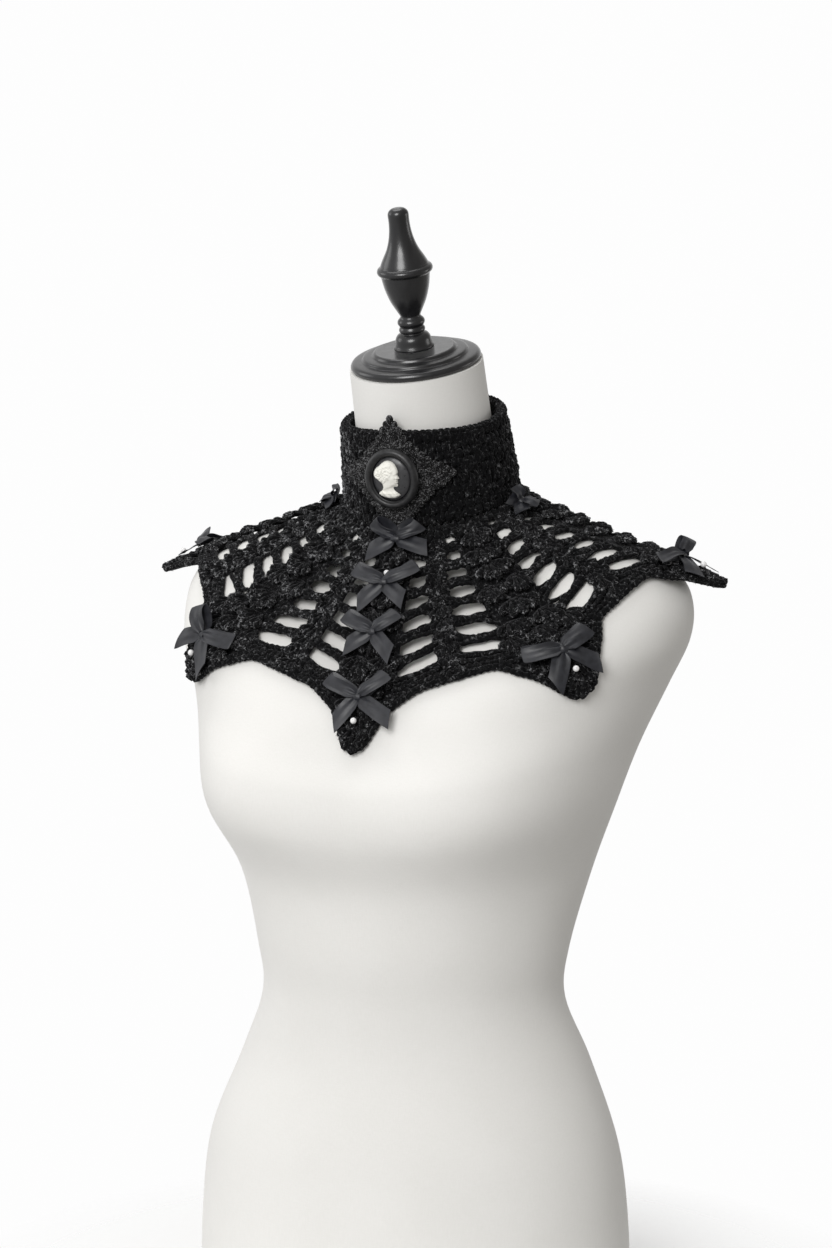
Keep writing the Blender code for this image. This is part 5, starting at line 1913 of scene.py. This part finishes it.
    def bust(self) -> Piece:
        """The relief: a net over the outline whose rim points lie on the outline.

        Returns:
            The piece.
        """
        across, rise = (np.arange(*limits, self.relief_pitch) for limits in self.relief_box)
        spots, inside, depth = self.fitted(np.stack(np.meshgrid(across, rise), axis=-1).reshape(-1, 2))
        middle, right, up, outward = self.axes()
        share = np.hypot(spots[:, 0] / self.stone_width, spots[:, 1] / self.stone_height)
        insets, heights = np.array(self.dome[1:]).T
        bed = np.interp((1 - share) * self.stone_width, insets, heights) + self.lift + self.relief_gap
        low = middle + spots[:, :1] * right + spots[:, 1:] * up + bed[:, None] * outward
        top = low + (self.carving(*spots.T, depth)[:, None] + self.relief_foot) * outward
        number = np.arange(len(spots)).reshape(len(rise), len(across))
        corners = net_quads(number).reshape(-1, 4)
        cells = [tuple(cell) for cell in corners[inside[corners].any(axis=1)].tolist()]
        piece = Piece("cameo_relief")
        piece.add(*wall(cells, dict(enumerate(top)), dict(enumerate(low))))
        return piece

    def carving(self, x: Array, y: Array, depth: Array) -> Array:
        """The relief's height at places inside the outline.

        Args:
            x: How far across they lie.
            y: How far up.
            depth: Their distance from the outline.

        Returns:
            A height for each.
        """
        rim = np.sqrt(np.clip(1 - (1 - np.clip(depth / 2.4, 0, 1)) ** 2, 0, 1))
        height = 1.5 * rim + self.swell.over(x, y)
        hairline = x - (3.4 - 0.10 * (y - 6.5) ** 2 * (y < 6.5) - 0.25 * np.maximum(y - 6.5, 0))
        hair = 1 / (1 + np.exp((hairline + 0.8) * 2.2)) * (y > -3.0)
        crown_x, crown_y = self.crown
        turn = np.arctan2(y - crown_y, x - crown_x)
        far = np.hypot(x - crown_x, y - crown_y)
        strands = np.sin(turn * 9 + far * 1.5 + 0.6 * np.sin(far * 1.1)) * 0.22
        curls = np.sin(x * 2.3 + 1.3 * np.sin(y * 1.2)) * np.sin(y * 2.1 + 1.1 * np.cos(x * 1.4)) * 0.2
        height += hair * (0.55 + strands + curls) * rim
        coil = np.hypot(x - self.bun.across, y - self.bun.up) * 4.2 + turn * 2
        height += self.bun.over(x, y) * (0.7 + 0.22 * np.sin(coil))
        height += (1 - hair) * (y > -5.5) * sum(hill.over(x, y) for hill in self.face)
        height += sum(hill.over(x, y) for hill in self.ear)
        jaw = 1 / (1 + np.exp(-(y + 4.2 + 0.42 * (2.5 - x)) * 3.0))
        height -= 0.75 * (1 - jaw) * (y > -9.5) * (x > -6.0)
        folds = np.clip((-8.2 - y) / 1.2, 0, 1)
        height += folds * (0.35 + 0.28 * np.sin(x * 1.5 + y * 1.1)) * rim
        for at_x, at_y in self.rosettes:
            near = np.hypot(x - at_x, y - at_y)
            petals = 0.6 + 0.3 * np.sin(near * 4.4 + np.arctan2(y - at_y, x - at_x) * 2)
            height += np.exp(-((near / 1.9) ** 2)) * petals
        return height * np.clip(depth / 0.3, 0, 1)


PLAIN_LOOPS = ((-24.0, -6.5), (23.5, -5.0))
PLAIN_TAILS = ((-17.0, 19.0), (18.0, 18.5))


class Bow(NamedTuple):
    """Where a bow's knot sits on the chart, and where its loops and tails end, across and outward from it."""

    name: str
    angle: float
    distance: float
    seat: float
    loops: tuple = PLAIN_LOOPS
    tails: tuple = PLAIN_TAILS
    # how far the ends of loops and tails stand up
    stands: tuple = (0.0, 0.0, 0.0, 0.0)
    cut: float = 0.145
    beside_collar: bool = False


BOWS = (
    Bow("front_1", 0.8, 3.4, 8.4, ((-16.5, -10.5), (15.0, -9.5)), ((-20.0, 13.0), (22.5, 9.5))),
    Bow("front_2", 0.0, 38.5, 10.1, ((-23.5, -6.5), (21.0, -11.0)), ((-17.0, 18.5), (17.0, 14.5))),
    Bow("front_3", 0.0, 77.0, 10.5, ((-23.0, -9.0), (15.5, -13.5)), ((-19.0, 13.5), (17.5, 18.5))),
    Bow("front_4", 0.0, 126.5, 10.3, ((-25.5, -10.0), (18.5, -16.0)), ((-15.0, 21.0), (27.0, 18.0))),
    Bow("front_left", 45.0, 131.0, 9.0),
    Bow(
        "front_right", -45.0, 131.0, 9.3, ((-15.0, -10.0), (26.0, -9.0)), ((-15.0, 13.0), (20.0, 19.0)),
        (10.0, 0.0, 7.0, 0.0),
    ),
    Bow("shoulder_left", 90.0, 128.0, 8.9, ((-20.0, -8.0), (9.0, -3.0)), stands=(0.0, 11.0, 0.0, 0.0)),
    Bow(
        "shoulder_right", -90.0, 128.0, 8.9, ((-13.0, -8.0), (10.0, -9.0)), ((-12.5, 1.5), (8.0, 13.0)),
        (0.0, 0.0, 13.0, 0.0),
    ),
    Bow("back_left", 135.0, 130.0, 9.4),
    Bow("back_right", -135.0, 130.0, 11.0),
    Bow("back_centre", 180.0, 128.0, 10.3),
    Bow(
        "collar_left", 81.0, 6.5, 7.2, ((-11.0, 1.0), (13.0, -3.0)), ((-7.0, 9.0), (10.0, 12.0)), cut=0.095,
        beside_collar=True,
    ),
    Bow(
        "collar_right", -81.0, 6.5, 7.2, ((-8.8, 1.0), (10.4, -3.0)), ((-5.6, 7.2), (8.0, 9.6)), cut=0.076,
        beside_collar=True,
    ),
)
Place = Callable[[Array, Array, Array], Array]


@dataclass
class RibbonBows:
    """Satin bows: two loops, two slanting tails and a knot, each cut from one ribbon."""

    drape: Drape
    band: NeckBand
    piece: Piece = field(init=False)
    place: Place = field(init=False)
    width: float = 11.2
    knot_width: float = 3.4
    knot_half: float = 3.0
    thick: float = 0.35
    slant: float = 4.2
    twists: tuple = (0.9, -0.8)
    # a bow nearer the collar than this turns up against it between two distances
    corner_reach: float = 25.0
    corner_start: float = -5.0
    corner_end: float = 5.0
    corner_level: float = 10.2
    corner_drop: float = 2.6

    def over_yoke(self, bow: Bow) -> Place:
        """The map from a bow's own across, outward and height to points over the cloth.

        Args:
            bow: The bow.

        Returns:
            The map.
        """

        def place(across: Array, outward: Array, height: Array) -> Array:
            """Points of this bow."""
            distance = bow.distance + outward
            near = bow.distance < self.corner_reach
            held = np.maximum(distance, self.corner_start) if near else distance
            flat = self.drape.over(self.drape.beside(bow.angle, held, across), held, bow.seat + height)
            if not near:
                return flat
            share = np.clip((distance - self.corner_start) / (self.corner_end - self.corner_start), 0, 1)
            share = eased(share)[..., None]
            turned = bow.angle + np.degrees(across / self.band.radius)
            level = self.corner_level - np.minimum(distance, self.corner_end)
            upright = self.band.point(turned, level, bow.seat + height - self.corner_drop)
            return upright * (1 - share) + flat * share

        return place

    def beside_collar(self, bow: Bow) -> Place:
        """The map for a bow between collar and shoulder: one loop stands, the other lies outward.

        Args:
            bow: The bow.

        Returns:
            The map.
        """
        origin = self.drape.over(bow.angle, bow.distance, bow.seat)
        along = unit(self.drape.over(bow.angle, 40.0, 10.3) - origin)
        standing = unit(self.band.point(bow.angle, 50.0, 1.0) - origin)
        sideways = unit(np.cross(along, standing))
        sideways = sideways if sideways[1] < 0 else -sideways
        away = unit(along + standing)

        def place(across: Array, outward: Array, height: Array) -> Array:
            """Points of this bow."""
            across, outward, height = across[..., None], outward[..., None], height[..., None]
            direction = np.where(across > 0, along, standing)
            return origin + direction * np.abs(across) + sideways * outward + away * height

        return place

    def half_wide(self, share: Array) -> Array:
        """Half the ribbon's width at a share of the way from the knot, where it is gathered."""
        full = np.sin(np.clip(share * 3.6, 0, 1) * math.pi / 2)
        return (self.knot_width + (self.width - self.knot_width) * full) / 2

    def lay(self, end: tuple, net: tuple[Array, Array, Array]) -> None:
        """Lay a ribbon's net along the line from the knot to an end.

        Args:
            end: The end, across and outward.
            net: How far along the line, beside it and over the seat each point lies.
        """
        out, aside, height = net
        way = np.array(end) / math.hypot(*end)
        across = way[0] * out - way[1] * aside
        self.piece.cloth(self.place(across, way[1] * out + way[0] * aside, height), self.thick)

    def loop(self, end: tuple, twist: float, stand: float) -> None:
        """One loop: the ribbon runs out along the cloth, turns and comes back over itself.

        Args:
            end: Where it ends, across and outward.
            twist: How far its edges twist, below zero the other way.
            stand: How far its end stands up.
        """
        length = math.hypot(*end)
        turn = np.linspace(0, math.pi, 29)[:, None]
        cross = np.linspace(-1, 1, 11)[None, :]
        out = 1.2 + (length - 1.2) * np.sin(turn) ** 0.8
        share = out / length
        upper = (1 - np.cos(turn)) / 2
        puff = 0.6 + 2.3 * np.sin(math.pi * np.clip(share, 0, 1) ** 0.9)
        pleat = 0.75 * np.cos(cross * 6.8) * (1 - share) ** 1.1
        pleat = pleat + 0.35 * np.cos(cross * 4.0 + 0.8) * (1 - share)
        cup = (1.5 if twist > 0 else -1.2) * (cross**2 - 0.4) * np.sin(math.pi * share * 0.9) * upper
        height = 2.6 - puff * np.cos(turn) + pleat * upper + cup + 0.5 * cross * twist * upper + stand * share
        aside = cross * self.half_wide(share) * (1 - 0.12 * upper) + twist * 3.2 * np.cos(turn) * share
        out = out - (0.4 * cross**2 + 0.9 * cross * np.sign(twist)) * share**4
        self.lay(end, (out, aside, np.maximum(height, 0.25)))

    def tail(self, end: tuple, curl: float, stand: float) -> None:
        """One tail, cut at a slant.

        Args:
            end: Where it ends, across and outward.
            curl: Where its wave starts, in radians.
            stand: How far its end stands up.
        """
        share = np.linspace(0, 1, 21)[:, None]
        cross = np.linspace(-1, 1, 11)[None, :]
        slant = self.slant * math.copysign(1, end[0])
        out = 0.8 + (math.hypot(*end) - 0.8) * share + slant * cross * share**3
        pleat = 0.55 * np.cos(cross * 6.5) * (1 - share) ** 1.3
        wave = 0.9 * np.sin(share * math.pi * 1.5 + curl) * share + 0.7 * cross * np.sin(share * 3.0 + curl)
        height = 2.2 - 0.7 * share + wave + pleat - 0.5 * cross**2 * share + stand * share
        self.lay(end, (out, cross * self.half_wide(share), np.maximum(height, 0.2)))

    def knot(self) -> None:
        """The band round the bow's middle."""
        turn = np.linspace(-0.62 * math.pi, 0.62 * math.pi, 15)[:, None]
        cross = np.linspace(-1, 1, 7)[None, :]
        outward = self.knot_half * np.sin(turn) + 0 * cross
        height = 2.3 + 2.2 * np.cos(turn) - 0.7 * cross**2 + 0.25 * np.cos(cross * 6)
        across = cross * (2.5 + 0.5 * np.abs(np.sin(turn)))
        self.piece.cloth(self.place(across, outward, np.maximum(height, 0.2)), self.thick)

    def build(self) -> None:
        """Build and dress every bow."""
        for number, bow in enumerate(BOWS):
            self.place = self.beside_collar(bow) if bow.beside_collar else self.over_yoke(bow)
            self.piece = Piece(f"ribbon_{bow.name}")
            for end, twist, stand in zip(bow.loops, self.twists, bow.stands):
                self.loop(end, twist, stand)
            for end, curl, stand in zip(bow.tails, (0.0, 0.9 + 0.4 * (number % 3)), bow.stands[2:]):
                self.tail(end, curl, stand)
            self.knot()
            made = self.piece.make([RIBBON], 70.0)
            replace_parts(made, f"bow_{bow.name}")
            spine = round(bow.angle / 45)


@dataclass
class Trimmings:
    """The pearls on the yoke and the buttons at the back of the collar."""

    drape: Drape
    band: NeckBand
    pearl_radius: float = 2.2
    gap: float = 0.35
    # name, angle, distance, height
    pearls: tuple = (
        ("front_spine", 0.0, 31.0, 7.8), ("front", 0.0, 144.0, 8.5), ("front_left", 45.0, 145.0, 8.0),
        ("front_right", -45.0, 145.0, 8.0), ("shoulder_left", 90.0, 145.0, 8.5),
        ("shoulder_right", -90.0, 145.0, 8.5), ("back_left", 135.0, 145.0, 8.5),
        ("back_right", -135.0, 145.0, 8.5),
    )
    button_angle: float = 173.5
    button_levels: tuple = (22.0, 43.5, 65.0)
    # radius and height, from the shank round the rim to the sunk middle
    button_rows: tuple = (
        (4.0, 0.0), (5.2, 0.3), (5.5, 1.1), (5.4, 2.0), (4.9, 2.6), (4.3, 2.5), (3.8, 1.9), (3.0, 1.6),
        (1.2, 1.55), (0.2, 1.55),
    )
    button_lift: float = 0.7
    button_thread: tuple = (1.9, 1.35, 0.55)

    @staticmethod
    def spokes(away: Array, hint: Array | tuple, turn: Array) -> Array:
        """Directions at turns round an axis, the first of them square to a hint."""
        side = unit(np.cross(away, hint))
        return side * np.cos(turn) + np.cross(away, side) * np.sin(turn)

    def pearl(self, name: str, middle: Array, away: Array) -> None:
        """One pearl with a turn of thread through it.

        Args:
            name: The name of its place.
            middle: Its middle.
            away: The direction off the yoke.
        """
        piece = Piece(f"pearl_bead_{name}")
        rise = np.linspace(-0.47 * math.pi, 0.47 * math.pi, 17)[:, None, None]
        dimple = 1 - 0.10 * np.exp(-(((np.abs(rise) - math.pi / 2) / 0.22) ** 2))
        spoke = self.spokes(away, (0.0, 0.3, 1.0), full_turn(28)[None, :, None])
        piece.lathe(middle + self.pearl_radius * dimple * (spoke * np.cos(rise) + away * np.sin(rise)))
        hole = np.linspace(-1, 1, 5)[:, None]
        piece.tubes(middle + away * hole * (self.pearl_radius + 0.15), rounded(5, 0.32), 6, mark=1)
        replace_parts(piece.make([PEARL, THREAD]), f"pearl_{name}")

    def button(self, number: int, level: float) -> None:
        """One button with a sunk middle and crossed thread.

        Args:
            number: Its number, from the lowest.
            level: Its level on the collar.
        """
        middle = self.band.point(self.button_angle, level, self.button_lift + self.gap)
        away = self.band.away(self.button_angle)
        _foot, upward, _forward = self.band.axes()
        rows = spline(self.button_rows, 28)
        spoke = self.spokes(away, -upward, full_turn(48)[None, :, None])
        piece = Piece(f"shank_button_{number}")
        piece.lathe(middle + spoke * rows[:, None, :1] + away * rows[:, None, 1:])
        share = np.linspace(-1, 1, 7)[:, None]
        half, low, rise = self.button_thread
        for turn in (math.pi / 4, -math.pi / 4):
            way = self.spokes(away, -upward, turn)
            arc = middle + way * share * half + away * (low + rise * (1 - share**2))
            piece.tubes(arc, rounded(7, 0.4), 6, mark=1)
        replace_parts(piece.make([RESIN, THREAD], 60.0), f"button_{number}")

    def build(self) -> None:
        """Build and dress pearls and buttons."""
        for name, angle, distance, height in self.pearls:
            middle = self.drape.over(angle, distance, height + self.pearl_radius + self.gap)
            self.pearl(name, middle, self.drape.away(angle, distance))
        for number, level in enumerate(self.button_levels, start=1):
            self.button(number, level)


@dataclass
class Studio:
    """Pale floor, soft light and the camera."""

    floor_radius: float = 6.0
    floor_drop: float = 0.0004
    # distances from the middle where the floor starts to fade and is gone
    floor_fade: tuple = (0.15, 0.36)
    floor_colour: tuple = (0.94, 0.94, 0.935)
    azimuth: float = 22.5
    elevation: float = 5.0
    distance: float = 2.1
    target: tuple = (0.0, 0.0, 0.49)
    lens: float = 84.8
    sensor: float = 36.0
    backdrop: tuple = (0.985, 0.985, 0.985)
    room_dark: tuple = (0.30, 0.292, 0.28)
    room_light: tuple = (0.66, 0.66, 0.66)
    key_way: tuple = (-0.8, -0.45, 0.3)
    # name, place, size, watts
    lamps: tuple = (
        ("key", (0.1, -2.45, 1.55), 1.4, 43.0),
        ("side", (-2.2, -0.4, 1.4), 1.2, 6.0),
        ("top", (-0.4, 0.2, 2.4), 1.2, 9.5),
        ("rim", (2.2, 1.3, 0.9), 1.0, 5.0),
    )

    def back(self) -> Vector:
        """The direction from the target to the camera."""
        turn, rise = math.radians(self.azimuth), math.radians(self.elevation)
        return Vector((math.sin(turn) * math.cos(rise), -math.cos(turn) * math.cos(rise), math.sin(rise)))

    def floor(self) -> None:
        """A round pale floor that fades into the background."""
        mesh = bpy.data.meshes.new("floor")
        turn = full_turn(96)
        ring = np.stack([np.cos(turn), np.sin(turn), 0 * turn], axis=1) * self.floor_radius
        mesh.from_pydata((ring - (0, 0, self.floor_drop)).tolist(), [], [tuple(range(len(turn)))])
        shading = Shading("pale_floor")
        length = {"operation": "LENGTH"}
        far = shading.node("ShaderNodeVectorMath", length, {0: shading.place()}, output="Value")
        values = {"Base Color": self.floor_colour, "Roughness": 0.9, "Specular IOR Level": 0.1}
        surface = shading.node("ShaderNodeBsdfPrincipled", {}, values)
        clear = shading.node("ShaderNodeBsdfTransparent")
        fade = {0: far.between(*self.floor_fade), 1: surface, 2: clear}
        shading.close(shading.node("ShaderNodeMixShader", {}, fade))
        mesh.materials.append(shading.material)
        placed("floor", mesh)

    def light(self) -> None:
        """A bright even surround with soft lamps."""
        shading = Shading("surround", surround=True)
        way = shading.node("ShaderNodeTexCoord", output="Generated")
        behind = shading.facing(way, -self.back()).between(0.55, 0.9)
        bright = shading.facing(way, Vector(self.key_way)).between(-0.3, 0.95)
        room = shading.mix(bright, self.room_dark, self.room_light)
        colour = shading.mix(behind, room, self.backdrop)
        shading.close(shading.node("ShaderNodeBackground", {}, {"Color": colour}))
        bpy.context.scene.world = shading.material
        for name, place, size, power in self.lamps:
            data = bpy.data.lights.new(name, "AREA")
            data.shape, data.size, data.energy = "DISK", size, power
            self.aimed(placed(name, data), Vector(place), Vector(place) - Vector(self.target))

    def camera(self) -> None:
        """The camera at the photograph's viewing angle."""
        data = bpy.data.cameras.new("camera")
        data.sensor_fit, data.sensor_width, data.lens = "AUTO", self.sensor, self.lens
        data.clip_start, data.clip_end = 0.05, 50.0
        made = placed("camera", data)
        self.aimed(made, Vector(self.target) + self.back() * self.distance, self.back())
        bpy.context.scene.camera = made

    @staticmethod
    def aimed(made: bpy.types.Object, place: Vector, back: Vector) -> None:
        """Put a lamp or the camera in its place, with its back in a direction."""
        made.location, made.rotation_mode = place, "QUATERNION"
        made.rotation_quaternion = (-back).to_track_quat("-Z", "Y")

    def build(self) -> None:
        """Set the stage."""
        bpy.context.scene.view_settings.view_transform = "Standard"
        self.camera()
        self.floor()
        self.light()


def main() -> None:
    """Build the dressed part and its studio."""
    logging.basicConfig(level=logging.INFO, format="%(message)s")
    form = Form()
    drape = Drape(form)
    band = NeckBand(form)
    Studio().build()
    DressForm(form, band).build()
    yoke = Yoke(Web(drape), drape, band)
    yoke.build()
    CollarStand(band, yoke).build()
    Medallion(band, yoke.draw).build("collar_ground")
    Brooch(band).build()
    RibbonBows(drape, band).build()
    Trimmings(drape, band).build()


if __name__ == "__main__":
    main()
